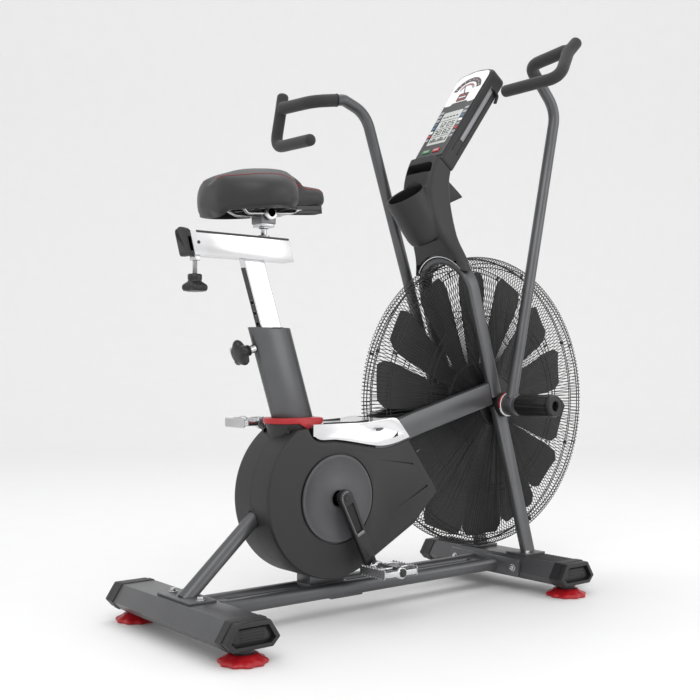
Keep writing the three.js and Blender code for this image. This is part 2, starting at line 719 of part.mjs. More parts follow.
// Channel with a slot along its top, welded across the post.
function seatRail() {
  const { rear, front, bottom, top, width, wall } = SEAT_RAIL;
  const [w, slot] = [width / 2, 7];
  const section = outline([
    [-w, bottom], [w, bottom], [w, top], [slot, top], [slot, top - wall], [w - wall, top - wall],
    [w - wall, bottom + wall], [-w + wall, bottom + wall], [-w + wall, top - wall], [-slot, top - wall],
    [-slot, top], [-w, top],
  ]);
  const channel = prismX(section, rear - 20, front + 20);
  const nut = cylinderZ(17, 0, 10, bottom - 8, bottom + 1, 6);
  const body = cut(union(channel, nut), cylinderZ(17, 0, 5.4, bottom - 12, bottom + 10, 20));
  return cut(body, slantedEnd(rear, false), slantedEnd(front, true));
}

function railCap() {
  const { rear, bottom, top, width } = SEAT_RAIL;
  const shape = roundedRect(width + 4, top - bottom + 6, 9, 0, (bottom + top) / 2 + 1);
  const block = prismX(shape, rear - 60, rear + 40, 3);
  return cut(block, slantedEnd(rear - GAP, true), slantedEnd(rear - 12, false));
}

function railKnob() {
  const { bottom } = SEAT_RAIL;
  const shape = new THREE.Shape();
  const points = 20;
  for (let i = 0; i < points; i += 1) {
    const angle = (2 * Math.PI * i) / points;
    const radius = 25 + 2.6 * Math.cos(5 * angle);
    const [a, b] = [17 + radius * Math.cos(angle), radius * Math.sin(angle)];
    if (i === 0) shape.moveTo(a, b);
    else shape.lineTo(a, b);
  }
  shape.closePath();
  const head = prismZ(shape, 691, 708);
  const neck = latheZ(17, 0, [[0, 704], [19, 704], [14, 716], [14, 725], [0, 725]], 24);
  return union(head, neck, cylinderZ(17, 0, 5, 720, bottom + 6, 16));
}

// Slide inside the rail with its stem and the saddle clamp on top.
function seatClamp() {
  const { bottom, top } = SEAT_RAIL;
  const slide = box(106, 220, -16.5, 16.5, bottom + 10, top - 4);
  const stem = cylinderZ(182, 0, 6.2, top - 8, 836, 20);
  const washer = cylinderZ(182, 0, 13, top + 1, top + 5, 24);
  const head = box(166, 198, -17, 17, 832, 851);
  return union(slide, stem, washer, head);
}

const TILT = { x: 182, z: 860 };

// Sprung wire frame under the saddle with the clamp barrel between its two rails.
function saddleRails() {
  const { x, z } = TILT;
  const barrel = cylinderY(x, z, 8.5, -32, 32, 24);
  let body = barrel;
  for (const side of [-1, 1]) {
    const y = 22 * side;
    const wire = tube([
      [92, 1.8 * y, 885], [128, y, z], [235, y, z], [300, 0.5 * y, 878],
    ], [14, 20], 3.5, 6);
    body = union(body, wire);
  }
  const bridge = box(84, 98, -44, 44, 880, 888);
  return union(body, bridge, box(292, 306, -16, 16, 872, 882));
}

// Half width of the saddle at distance t (0 at the rear, 1 at the nose).
function saddleHalfWidth(t) {
  const rear = 124 * Math.sqrt(Math.max(0, 1 - ((t - 0.33) / 0.36) ** 2));
  const nose = 37 - 4 * t;
  const round = Math.sqrt(Math.max(0, 1 - Math.max(0, (t - 0.9) / 0.1) ** 2));
  return t < 0.33 ? rear : Math.max(rear, nose * round);
}

function saddleSlice(z0, z1, shrink) {
  const [x0, length, steps] = [46, 300, 20];
  const upper = [];
  for (let i = 1; i < steps; i += 1) {
    const t = 0.5 - 0.5 * Math.cos((Math.PI * i) / steps);
    upper.push([x0 + shrink + t * (length - 2 * shrink), Math.max(8, saddleHalfWidth(t) - shrink)]);
  }
  const lower = upper.map(([x, y]) => [x, -y]).reverse();
  const [rear, front] = [[x0 + shrink, 0], [x0 + length - shrink, 0]];
  return prismZ(outline([rear, ...lower.reverse(), front, ...upper.reverse()]), z0, z1);
}

// Plain form of the saddle, hollow underneath where the wire frame sits.
function saddle() {
  const { rimZ, topZ } = SADDLE;
  let body = union(saddleSlice(rimZ + 12, topZ - 24, 0), saddleSlice(rimZ, rimZ + 14, 10));
  body = union(body, saddleSlice(topZ - 26, topZ - 6, 9), saddleSlice(topZ - 8, topZ, 30));
  body = cut(body, box(250, 400, -90, 90, 800, 872));
  body = cut(body, box(74, 250, -56, 56, 800, 890), box(240, 316, -26, 26, 800, 890));
  return body;
}

// ---------------------------------------------------------------- swinging arms and pegs

// Arm with its pivot boss, upright, before it is swung; side is -1 for the right arm.
function armShape() {
  const boss = latheY(0, 0, [
    [7.8, ARM.bossInner], [24, ARM.bossInner], [26, ARM.bossInner + 3], [26, ARM.bossOuter - 3],
    [22, ARM.bossOuter - 0.4], [7.8, ARM.bossOuter - 0.4], [7.8, ARM.bossInner],
  ], 24);
  const corners = [[-12, 124, 14], [-18, 115, 748], [-80, 110, 792], ARM_END];
  const pipe = tube(corners, [75, 20], ARM.radius, 12);
  return cut(union(boss, pipe), cylinderY(0, 0, 7.8, 90, 160, 24));
}

const ARM_END = [-97, 115, 795];

// Foam-covered bull-horn: the arm's own end, an upright stub and a bar that turns inwards.
function gripShape() {
  const start = [-97.8, 115.2, 795.2];
  const run = tube([start, [-150, 130.9, 805.4], [-158, 247, 812]], [46], GRIP.arm, 12);
  const bar = [[-137, 258, 843], [-158, 256, 806], [-190, 274, 726], [-201, 109, 721]];
  const horn = tube(bar, [60, 30], GRIP.bar, 12);
  return union(run, horn);
}

function armGroup(side, degrees, pieces) {
  const group = new THREE.Group();
  for (const [name, shape, material] of pieces) {
    group.add(meshOf(name, side < 0 ? mirrored(shape) : shape, material));
  }
  group.position.set(HUB.x, 0, HUB.z);
  group.rotation.y = degrees * RADIAN;
  return group;
}

function footPeg(side) {
  const { inner, outer, radius } = PEG;
  const body = latheY(HUB.x, HUB.z, [
    [7.7, inner], [18, inner], [18, inner + 6], [radius, inner + 8], [radius, outer - 6],
    [radius - 4, outer], [7.7, outer], [7.7, inner],
  ], 20);
  return side < 0 ? mirrored(body) : body;
}

// ---------------------------------------------------------------- mast cover and console

// Block with a different rectangle at each end: [x0, x1, halfWidth, z] below and above.
function taperedBlock(low, high) {
  const corner = ([x0, x1, y, z], bx, by) => [bx ? x1 : x0, by ? y : -y, z];
  const ring = (end) => [corner(end, 0, 0), corner(end, 1, 0), corner(end, 1, 1), corner(end, 0, 1)];
  const points = [...ring(low), ...ring(high)];
  const quads = [[3, 2, 1, 0], [4, 5, 6, 7], [0, 1, 5, 4], [1, 2, 6, 5], [2, 3, 7, 6], [3, 0, 4, 7]];
  const positions = quads.flatMap(([a, b, c, d]) => [a, b, c, a, c, d].flatMap((i) => points[i]));
  const geometry = new THREE.BufferGeometry();
  geometry.setAttribute('position', new THREE.BufferAttribute(new Float32Array(positions), 3));
  return solid(geometry);
}

function bottleCylinder(radius, from, to) {
  const geometry = new THREE.CylinderGeometry(radius, radius, to - from, 24);
  geometry.rotateX(Math.PI / 2);
  geometry.translate(0, 0, -(from + to) / 2);
  return solid(geometry).rotate([0, -BOTTLE.lean, 0]).translate([BOTTLE.x, 0, BOTTLE.z]);
}

// Half-space above the seam between the mast cover and the console.
function aboveSeam(lift) {
  const block = box(-200, 300, -200, 200, lift, 500);
  return block.rotate([0, CONSOLE.lean, 0]).translate([CONSOLE.x, 0, CONSOLE.z]);
}

function mastCover() {
  const sections = [
    [684, 734, 84, 764], [670, 724, 74, 800], [634, 706, 53, 856],
    [609, 690, 49, 930], [612, 684, 48, 985], [640, 716, 50, 1060],
  ];
  let body = taperedBlock(sections[0], sections[1]);
  for (let i = 1; i < sections.length - 1; i += 1) {
    body = union(body, taperedBlock(sections[i], sections[i + 1]));
  }
  body = union(body, bottleCylinder(BOTTLE.outer, 0, BOTTLE.depth));
  body = union(body, taperedBlock([690, 712, 16, 938], [684, 748, 16, 960]));
  body = union(body, taperedBlock([684, 748, 16, 960], [680, 722, 16, 998]));
  const wideFork = sweep(roundedRect(FORK.thick + 1.2, FORK.width + 1.2, 9), forkKnots(), 1);
  body = cut(body, wideFork, prismY(outline([[677, 796], [726, 796], [718, 819], [673, 832]]), -19, 19));
  body = cut(body, cylinderY(CAGE.x, CAGE.z, CAGE.rim + 12, -70, 70, 90));
  body = cut(body, tube([MAST.foot, [647, 0, 996]], [], MAST.radius + 0.7, 16));
  body = cut(body, bottleCylinder(BOTTLE.inner, -20, BOTTLE.depth - 14));
  body = cut(body, trayPocket(), aboveSeam(-GAP));
  return body;
}

// Shallow tray in the rider's side of the mast, just under the console.
function trayPocket() {
  return box(-8, 20, -41, 41, -46, -14).rotate([0, CONSOLE.lean, 0]).translate([CONSOLE.x, 0, CONSOLE.z]);
}

// Console pieces are drawn flat: x is depth behind the face, y across, z up the face.
function consoleHousing() {
  const { length, depth, low, high } = CONSOLE;
  const face = outline([[-low, 0], [low, 0], [high, length - 18], [high - 16, length], [-high + 16, length],
    [-high, length - 18]]);
  let body = prismX(face, 0, depth);
  for (const side of [-1, 1]) {
    body = cut(body, box(-1, 4, side * 17 - 13, side * 17 + 13, 12, 26));
  }
  return body;
}

function consolePanel() {
  const { length, low, high } = CONSOLE;
  const face = outline([[-low + 4, 6], [low - 4, 6], [high - 6, length - 22], [high - 18, length - 7],
    [-high + 18, length - 7], [-high + 6, length - 22]]);
  let body = prismX(face, -1.8, -GAP);
  for (const side of [-1, 1]) {
    body = cut(body, box(-5, 5, side * 17 - 12.6, side * 17 + 12.6, 12.4, 25.6));
  }
  return cut(body, box(-5, 5, -33, 33, 42, 150));
}

const consoleScreen = () => box(-1.4, -GAP, -32.5, 32.5, 42.5, 149.5);
const consoleKey = (side) => box(-3, 2, side * 17 - 12, side * 17 + 12, 13, 25);

function consoleGroup() {
  const group = new THREE.Group();
  group.add(meshOf('console_housing', consoleHousing(), BLACK_PLASTIC));
  group.add(meshOf('console_panel', consolePanel(), PANEL));
  group.add(meshOf('lcd_screen', consoleScreen(), SCREEN));
  group.add(meshOf('start_key', consoleKey(1), GREEN_KEY));
  group.add(meshOf('stop_key', consoleKey(-1), RED_KEY));
  group.position.set(CONSOLE.x, 0, CONSOLE.z);
  group.rotation.y = CONSOLE.lean * RADIAN;
  return group;
}

// ---------------------------------------------------------------- assembly

const bike = new THREE.Group();
const add = (name, shape, material) => bike.add(meshOf(name, shape, material));
const SIDES = [['right', -1], ['left', 1]];

add('base_frame', baseFrame(), FRAME_GREY);
add('rear_stabilizer', stabilizer(0), FRAME_GREY);
add('front_stabilizer', frontStabilizer(), FRAME_GREY);
add('main_frame', mainFrame(), FRAME_GREY);
add('fork', fork(), FRAME_GREY);
add('fan_axle', cylinderY(HUB.x, HUB.z, 7, -236, 236, 24), STEEL);
add('crank_spindle', cylinderY(CRANK.x, CRANK.z, 8.5, -99, 99, 24), STEEL);
add('crank_pulley', pulley(CRANK, 8.9, PULLEY.crank, 36), DARK_PLASTIC);
add('fan_pulley', pulley(HUB, 7.7, PULLEY.fan, 20), STEEL);
add('drive_belt', driveBelt(), BELT_RUBBER);
add('fan_wheel', fanWheel(), FAN_BLACK);

for (const [name, side] of SIDES) {
  add(`rear_cap_${name}`, endCap(0, side), BLACK_PLASTIC);
  add(`front_cap_${name}`, endCap(WHEELBASE, side), BLACK_PLASTIC);
  add(`rear_foot_${name}`, foot(0, side), RED_PLASTIC);
  add(`front_foot_${name}`, foot(WHEELBASE, side), RED_PLASTIC);
  add(`transport_wheel_${name}`, transportWheel(side), RED_PLASTIC);
  add(`front_strut_${name}`, frontStrut(side), FRAME_GREY);
  add(`hub_shell_${name}`, hubShell(side), DARK_PLASTIC);
  add(`crank_arm_${name}`, crankArm(side), DARK_PLASTIC);
  add(`crank_bearing_${name}`, crankBearing(side), STEEL);
  add(`pedal_${name}`, pedal(side), STEEL);
  add(`shroud_${name}`, shroudHalf(side), BLACK_PLASTIC);
  add(`disc_cover_${name}`, discCover(side), DISC_GREY);
  add(`cage_${name}`, cageHalf(side), BLACK_WIRE);
  add(`foot_peg_${name}`, footPeg(side), DARK_PLASTIC);
  const degrees = side < 0 ? ARM.right : ARM.left;
  const pieces = [[`arm_${name}`, armShape(), FRAME_GREY], [`grip_${name}`, gripShape(), FOAM]];
  bike.add(armGroup(side, degrees, pieces));
}

add('top_cover', topCover(), CHROME);
add('seat_collar', seatCollar(), RED_PLASTIC);
add('seat_tube', seatTube(), FRAME_GREY);
add('seat_post', seatPost(), CHROME);
add('post_knob', postKnob(), DARK_PLASTIC);
add('seat_rail', seatRail(), CHROME);
add('rail_cap', railCap(), BLACK_PLASTIC);
add('rail_knob', railKnob(), DARK_PLASTIC);
add('seat_clamp', seatClamp(), STEEL);
add('saddle_rails', saddleRails(), STEEL);
add('saddle', saddle(), LEATHER);
add('mast_cover', mastCover(), BLACK_PLASTIC);
bike.add(consoleGroup());

bike.position.x = -MIDSHIP;

const group = new THREE.Group();
group.add(bike);

export default group;
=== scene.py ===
"""Air bike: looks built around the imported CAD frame. Metres in Blender; helper mm() takes millimetres
measured forward from the rear feet, to the rider's left of the middle plane, and up from the floor."""
import json
import math

import bmesh
import bpy
from mathutils import Matrix, Vector
from mathutils.bvhtree import BVHTree


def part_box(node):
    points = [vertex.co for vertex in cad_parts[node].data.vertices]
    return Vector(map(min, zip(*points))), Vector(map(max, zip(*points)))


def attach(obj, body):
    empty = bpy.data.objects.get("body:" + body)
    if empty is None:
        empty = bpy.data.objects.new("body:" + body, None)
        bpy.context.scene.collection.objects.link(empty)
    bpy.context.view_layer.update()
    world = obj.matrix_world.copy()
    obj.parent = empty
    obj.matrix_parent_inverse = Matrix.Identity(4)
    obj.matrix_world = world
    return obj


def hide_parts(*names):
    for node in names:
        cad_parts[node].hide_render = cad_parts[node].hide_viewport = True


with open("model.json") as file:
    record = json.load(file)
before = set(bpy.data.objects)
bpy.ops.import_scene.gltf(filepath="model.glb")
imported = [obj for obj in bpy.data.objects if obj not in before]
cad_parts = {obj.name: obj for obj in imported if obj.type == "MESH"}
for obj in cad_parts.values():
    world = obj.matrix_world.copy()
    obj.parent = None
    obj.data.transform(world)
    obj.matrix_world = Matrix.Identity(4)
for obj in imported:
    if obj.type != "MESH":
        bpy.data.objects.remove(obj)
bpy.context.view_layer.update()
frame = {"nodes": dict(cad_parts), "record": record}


# ---- places taken from the frame

def centre(node):
    low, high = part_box(node)
    return (low + high) / 2


REAR_X = centre("rear_foot_right").x
HUB = centre("fan_axle")
CRANK = centre("crank_spindle")


def mm(x, y, z):
    return Vector((REAR_X + x / 1000, y / 1000, z / 1000))


# ---- materials

def node_material(name, colour, rough, metal=0.0, coat=0.0, sheen=0.0, drift=0.12):
    """Principled material whose colour and roughness drift a little over the surface."""
    material = bpy.data.materials.new(name)
    material.use_nodes = True
    tree = material.node_tree
    shader = tree.nodes["Principled BSDF"]
    shader.inputs["Metallic"].default_value = metal
    shader.inputs["Coat Weight"].default_value = coat
    shader.inputs["Sheen Weight"].default_value = sheen
    place = tree.nodes.new("ShaderNodeTexCoord")
    cloud = tree.nodes.new("ShaderNodeTexNoise")
    cloud.inputs["Scale"].default_value = 9.0
    cloud.inputs["Detail"].default_value = 4.0
    tree.links.new(place.outputs["Object"], cloud.inputs["Vector"])
    ramp = tree.nodes.new("ShaderNodeValToRGB")
    ramp.color_ramp.elements[0].position = 0.3
    ramp.color_ramp.elements[1].position = 0.7
    ramp.color_ramp.elements[0].color = (*[c * (1 - drift) for c in colour], 1)
    ramp.color_ramp.elements[1].color = (*[min(1, c * (1 + drift)) for c in colour], 1)
    tree.links.new(cloud.outputs["Fac"], ramp.inputs["Fac"])
    tree.links.new(ramp.outputs["Color"], shader.inputs["Base Color"])
    spread = tree.nodes.new("ShaderNodeMapRange")
    spread.inputs["To Min"].default_value = max(0.02, rough * (1 - drift))
    spread.inputs["To Max"].default_value = min(1.0, rough * (1 + drift))
    tree.links.new(cloud.outputs["Fac"], spread.inputs["Value"])
    tree.links.new(spread.outputs["Result"], shader.inputs["Roughness"])
    return material


def add_bump(material, texture, scale, strength):
    """Fine relief from a noise or voronoi texture; scale is in features per metre."""
    tree = material.node_tree
    shader = tree.nodes["Principled BSDF"]
    place = tree.nodes.new("ShaderNodeTexCoord")
    relief = tree.nodes.new(texture)
    relief.inputs["Scale"].default_value = scale
    tree.links.new(place.outputs["Object"], relief.inputs["Vector"])
    bump = tree.nodes.new("ShaderNodeBump")
    bump.inputs["Strength"].default_value = strength
    bump.inputs["Distance"].default_value = RELIEF_DEPTH
    height = "Distance" if texture == "ShaderNodeTexVoronoi" else "Fac"
    tree.links.new(relief.outputs[height], bump.inputs["Height"])
    tree.links.new(bump.outputs["Normal"], shader.inputs["Normal"])
    return material


RELIEF_DEPTH = 0.0004
NOISE, CELLS = "ShaderNodeTexNoise", "ShaderNodeTexVoronoi"


def finish(name, colour, rough, metal=0.0, relief=NOISE, scale=900, strength=0.1, **more):
    return add_bump(node_material(name, colour, rough, metal, **more), relief, scale, strength)


MATERIALS = {
    "frame_grey": finish("satin_grey_paint", (0.105, 0.106, 0.11), 0.34, 0.6, scale=1400, strength=0.12),
    "black_plastic": finish("textured_black_plastic", (0.0125, 0.0125, 0.013), 0.5, scale=2200, strength=0.3),
    "dark_plastic": finish("smooth_black_plastic", (0.009, 0.009, 0.0095), 0.36, scale=1500),
    "disc_grey": finish("grey_disc_plastic", (0.062, 0.06, 0.066), 0.42, scale=1800, strength=0.15),
    "red_plastic": finish("red_plastic", (0.4, 0.008, 0.014), 0.36, scale=1200),
    "chrome": finish("polished_chrome", (0.74, 0.74, 0.75), 0.2, 1.0, scale=60, strength=0.05),
    "steel": finish("plain_steel", (0.55, 0.55, 0.56), 0.24, 1.0, strength=0.15),
    "black_wire": finish("coated_black_wire", (0.009, 0.009, 0.009), 0.35, 0.2),
    "fan_black": finish("fan_black_plastic", (0.014, 0.014, 0.014), 0.5, strength=0.25),
    "foam": finish("closed_cell_foam", (0.022, 0.022, 0.023), 0.82, relief=CELLS, strength=0.5, sheen=0.15),
    "leather": finish("black_grained_leather", (0.012, 0.012, 0.0125), 0.46, 0, CELLS, 620, 0.4, sheen=0.1),
    "belt_rubber": finish("belt_rubber", (0.01, 0.01, 0.01), 0.75, scale=700, strength=0.4),
    "panel": finish("black_membrane", (0.012, 0.012, 0.013), 0.3, scale=1500),
    "screen": finish("grey_display", (0.5, 0.52, 0.5), 0.16, scale=200, strength=0.02, coat=0.6),
    "green_key": finish("green_key", (0.02, 0.22, 0.07), 0.4),
    "red_key": finish("red_key", (0.42, 0.012, 0.02), 0.4),
    "white_print": finish("white_print", (0.78, 0.78, 0.78), 0.4, strength=0.05),
    "silver_print": finish("silver_print", (0.3, 0.31, 0.33), 0.4, strength=0.05),
    "blue_print": finish("blue_print", (0.05, 0.12, 0.2), 0.4, strength=0.05),
    "lcd_mark": finish("display_marks", (0.03, 0.035, 0.03), 0.5, strength=0.05),
    "red_thread": finish("red_thread", (0.3, 0.012, 0.02), 0.6, strength=0.3),
    "grey_metal": finish("brushed_grey_metal", (0.2, 0.2, 0.21), 0.36, 0.7),
}

for entry in frame["record"]["subparts"]:
    node = frame["nodes"][entry["node"]]
    node.data.materials.clear()
    node.data.materials.append(MATERIALS[entry["material_slot"]])


# ---- shapes in millimetres
# A shape is a pair: points (x from the rear feet, y to the left, z up) and faces.

def join(*shapes):
    points, faces = [], []
    for some_points, some_faces in shapes:
        start = len(points)
        points += [Vector(p) for p in some_points]
        faces += [tuple(start + i for i in face) for face in some_faces]
    return points, faces


def placed(shape, matrix):
    points, faces = shape
    return [matrix @ Vector(p) for p in points], faces


def shifted(shape, x, y, z):
    return placed(shape, moved(x, y, z))


def mirrored(shape):
    points, faces = shape
    return [Vector((p[0], -p[1], p[2])) for p in points], [tuple(reversed(f)) for f in faces]


def on_side(shape, side):
    """The shape is drawn for the left; the right-hand copy is its mirror image."""
    return mirrored(shape) if side < 0 else shape


def polar(radius, degrees, cx=0, cy=0):
    turn = math.radians(degrees)
    return cx + radius * math.cos(turn), cy + radius * math.sin(turn)


def turned(degrees, axis="Y"):
    return Matrix.Rotation(math.radians(degrees), 4, axis)


def moved(x, y, z):
    return Matrix.Translation((x, y, z))


def circle(radius, sides=24):
    turns = [2 * math.pi * i / sides for i in range(sides)]
    return [(radius * math.cos(turn), radius * math.sin(turn)) for turn in turns]


def skin(rings, caps=False):
    """Faces between rings that have the same number of points; caps closes the two ends."""
    points = [Vector(p) for ring in rings for p in ring]
    n, faces = len(rings[0]), []
    for row in range(0, len(points) - n, n):
        for i in range(n):
            j = (i + 1) % n
            faces.append((row + i, row + j, row + n + j, row + n + i))
    if caps:
        faces += [tuple(reversed(range(n))), tuple(range(len(points) - n, len(points)))]
    return points, faces


def upright(axis, a, b, along):
    """Point at (a, b) in the plane square to the axis."""
    return Vector({"x": (along, a, b), "y": (a, along, b), "z": (a, b, along)}[axis])


def rounded(width, height, radius, steps=4, cx=0, cy=0):
    """Outline of a rectangle with round corners."""
    points = []
    for sx, sy, start in ((1, 1, 0), (-1, 1, 90), (-1, -1, 180), (1, -1, 270)):
        for i in range(steps + 1):
            points.append(polar(radius, start + 90 * i / steps,
                                cx + sx * (width / 2 - radius), cy + sy * (height / 2 - radius)))
    return points


def prism(outline, axis, low, high):
    """Outline drawn in the plane square to axis: (y, z) for x, (x, z) for y, (x, y) for z."""
    n = len(outline)
    points = [upright(axis, a, b, along) for along in (low, high) for a, b in outline]
    faces = [tuple(reversed(range(n))), tuple(range(n, 2 * n))]
    return points, faces + [(i, (i + 1) % n, n + (i + 1) % n, n + i) for i in range(n)]


def block(x0, x1, y0, y1, z0, z1):
    return prism([(x0, y0), (x1, y0), (x1, y1), (x0, y1)], "z", z0, z1)


def lathe(profile, sides=64, axis="y", centre=(0, 0)):
    """Surface of revolution; the profile is a list of (radius, distance along the axis)."""
    cx, cy = centre
    return skin([[upright(axis, cx + a, cy + b, along) for a, b in circle(radius, sides)]
                 for radius, along in profile])


def lobed(stations, lobes, depth, sides=80):
    """Round body about Z with a wavy rim; a station is (radius, height, share of the wave)."""
    rings = []
    for radius, height, share in stations:
        wave = [1 + share * depth * math.cos(2 * math.pi * i / sides * lobes) for i in range(sides)]
        rings.append([(radius * grow * a, radius * grow * b, height)
                      for grow, (a, b) in zip(wave, circle(1, sides))])
    return skin(rings)


def bent(corners, bends, steps=10):
    """Points along straight runs whose corners are rounded."""
    corners = [Vector(c) for c in corners]
    points = [corners[0]]
    for i in range(1, len(corners) - 1):
        back = (corners[i - 1] - corners[i]).normalized()
        ahead = (corners[i + 1] - corners[i]).normalized()
        reach = bends[i - 1] / math.tan(back.angle(ahead) / 2)
        start, end = corners[i] + back * reach, corners[i] + ahead * reach
        for k in range(steps + 1):
            t = k / steps
            points.append(start * (1 - t) ** 2 + corners[i] * 2 * t * (1 - t) + end * t * t)
    points.append(corners[-1])
    return points


def sweep(path, section, side=(0, 1, 0), scales=None):
    """Section carried along a path without twisting; side is the section's first direction at the start."""
    path = [Vector(p) for p in path]
    count = len(path)
    tangents = [(path[min(i + 1, count - 1)] - path[max(i - 1, 0)]).normalized() for i in range(count)]
    across = Vector(side)
    across = (across - tangents[0] * across.dot(tangents[0])).normalized()
    rings = []
    for i in range(count):
        across = (across - tangents[i] * across.dot(tangents[i])).normalized()
        over = tangents[i].cross(across)
        grow = scales[i] if scales else 1
        rings.append([path[i] + across * (a * grow) + over * (b * grow) for a, b in section])
    return skin(rings, caps=True)


def domed_tube(path, radius, ends=True):
    """Round tube, with softly domed ends unless ends is False."""
    path = [Vector(p) for p in path]
    first, last = (path[1] - path[0]).normalized(), (path[-1] - path[-2]).normalized()
    points, scales = list(path), [1.0] * len(path)
    steps = [0.06, 0.3, 0.55, 0.78, 0.93]
    if ends:
        bulge = [radius * math.sqrt(1 - s * s) * 0.6 for s in steps]
        points[0:0] = [path[0] - first * b for b in bulge]
        points += [path[-1] + last * b for b in reversed(bulge)]
        scales = [*steps, *scales, *reversed(steps)]
    return sweep(points, circle(radius, 28), side=(0.3, 1, 0.2), scales=scales)


def ring_wire(radius, y, thick):
    """Thin wire hoop about the fan axis."""
    profile = [(radius + a, y + b) for a, b in circle(thick, 8)]
    profile.append(profile[0])
    return lathe(profile, 180, "y", (CAGE_X, CAGE_Z))


def hex_head(x, y, z, width, height, lean=0):
    """Flanged hexagon bolt head on a surface tipped by lean degrees about Y."""
    side, step, brim = width * 0.5, height * 0.25, width * 0.68
    head = lathe([(0, height), (width * 0.42, height), (side, height * 0.85), (side, step)], 6, "z")
    flange = lathe([(side, step), (brim, height * 0.2), (brim, 0), (0, 0)], 24, "z")
    return placed(join(head, flange), moved(x, y, z) @ turned(lean))


# ---- Blender pieces from shapes

def to_metres(p):
    return (REAR_X + p[0] / 1000, p[1] / 1000, p[2] / 1000)


def raw_object(name, shape):
    mesh = bpy.data.meshes.new(name)
    mesh.from_pydata([to_metres(p) for p in shape[0]], [], shape[1])
    model = bmesh.new()
    model.from_mesh(mesh)
    bmesh.ops.remove_doubles(model, verts=model.verts, dist=2e-6)
    bmesh.ops.dissolve_degenerate(model, dist=1e-6, edges=model.edges)
    bmesh.ops.recalc_face_normals(model, faces=model.faces)
    model.to_mesh(mesh)
    model.free()
    item = bpy.data.objects.new(name, mesh)
    bpy.context.scene.collection.objects.link(item)
    return item


def soften(item, width, segments=3, limit=30, chosen=None):
    """Rounds the sharp edges; width in millimetres, chosen picks edges by their two ends in millimetres."""
    model = bmesh.new()
    model.from_mesh(item.data)
    edges = [e for e in model.edges if len(e.link_faces) == 2 and e.calc_face_angle(0) > math.radians(limit)]
    if chosen:
        edges = [e for e in edges if all(chosen(from_metres(v.co)) for v in e.verts)]
    bmesh.ops.bevel(model, geom=edges, offset=width / 1000, segments=segments, profile=0.5,
                    affect="EDGES", clamp_overlap=True)
    model.to_mesh(item.data)
    model.free()


def from_metres(co):
    return Vector(((co.x - REAR_X) * 1000, co.y * 1000, co.z * 1000))


def apply_modifiers(item):
    """Bakes the modifiers into the mesh."""
    graph = bpy.context.evaluated_depsgraph_get()
    graph.update()
    baked = bpy.data.meshes.new_from_object(item.evaluated_get(graph))
    item.modifiers.clear()
    old = item.data
    item.data = baked
    bpy.data.meshes.remove(old)


def carve(item, *shapes, mode="DIFFERENCE"):
    """Cuts shapes out of a piece."""
    for shape in shapes:
        tool = raw_object("tool", shape)
        boolean = item.modifiers.new("cut", "BOOLEAN")
        boolean.operation = mode
        boolean.solver = "MANIFOLD"
        boolean.object = tool
        apply_modifiers(item)
        bpy.data.objects.remove(tool)


def remesh(item, voxel, smooth):
    """Melts overlapping shapes into one skin; voxel in millimetres."""
    step = item.modifiers.new("remesh", "REMESH")
    step.mode = "VOXEL"
    step.voxel_size = voxel / 1000
    apply_modifiers(item)
    relax = item.modifiers.new("smooth", "SMOOTH")
    relax.factor = 0.5
    relax.iterations = smooth
    apply_modifiers(item)


saddle_pieces = []


def finish_piece(item, slot, body, replaces=(), smooth=35):
    """Shading, finish and the CAD body it rides on."""
    if body == "saddle_unit":
        saddle_pieces.append(item)
    item.data.materials.clear()
    item.data.materials.append(MATERIALS[slot])
    item.data.polygons.foreach_set("use_smooth", [True] * len(item.data.polygons))
    item.data.set_sharp_from_angle(angle=math.radians(smooth))
    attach(item, body)
    if replaces:
        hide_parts(*replaces)
    return item


def piece(name, shape, slot, body="frame", replaces=(), smooth=35, soft=0):
    """One finished piece; soft is the rounding of its edges in millimetres."""
    item = raw_object(name, shape)
    if soft:
        soften(item, soft)
    return finish_piece(item, slot, body, replaces, smooth)


def refined(node, soft):
    """A CAD node's own shape with its sharp edges rounded."""
    source = frame["nodes"][node]
    item = bpy.data.objects.new(f"{node}_finish", source.data.copy())
    bpy.context.scene.collection.objects.link(item)
    model = bmesh.new()
    model.from_mesh(item.data)
    bmesh.ops.remove_doubles(model, verts=model.verts, dist=1e-5)
    bmesh.ops.dissolve_limit(model, angle_limit=math.radians(1.5), verts=model.verts, edges=model.edges)
    model.to_mesh(item.data)
    model.free()
    soften(item, soft, 2, 28)
    return finish_piece(item, SLOT_OF[node], BODY_OF[node], (node,), 32)


SLOT_OF = {entry["node"]: entry["material_slot"] for entry in frame["record"]["subparts"]}
BODY_OF = {node: body for body, nodes in frame["record"]["behaviour"]["bodies"].items() for node in nodes}
SIDES = (("right", -1), ("left", 1))
HUB_X, _, HUB_Z = from_metres(HUB)
CRANK_X, _, CRANK_Z = from_metres(CRANK)
CAGE_X, CAGE_Z = HUB_X + 7, HUB_Z + 8  # the cage sits a little in front of and above the axle
HUB_PLACE, CAGE_PLACE = moved(HUB_X, 0, HUB_Z), moved(CAGE_X, 0, CAGE_Z)
FRONT_X = from_metres(centre("front_foot_right")).x


# ---- base

for node, soft in (
    ("base_frame", 1.4), ("rear_stabilizer", 2.4), ("front_stabilizer", 1.6), ("main_frame", 1.6),
    ("front_strut_right", 1.6), ("front_strut_left", 1.6), ("seat_tube", 0.9), ("seat_post", 0.8),
    ("seat_rail", 0.8), ("rail_cap", 2.2), ("seat_clamp", 1.0),
):
    refined(node, soft)


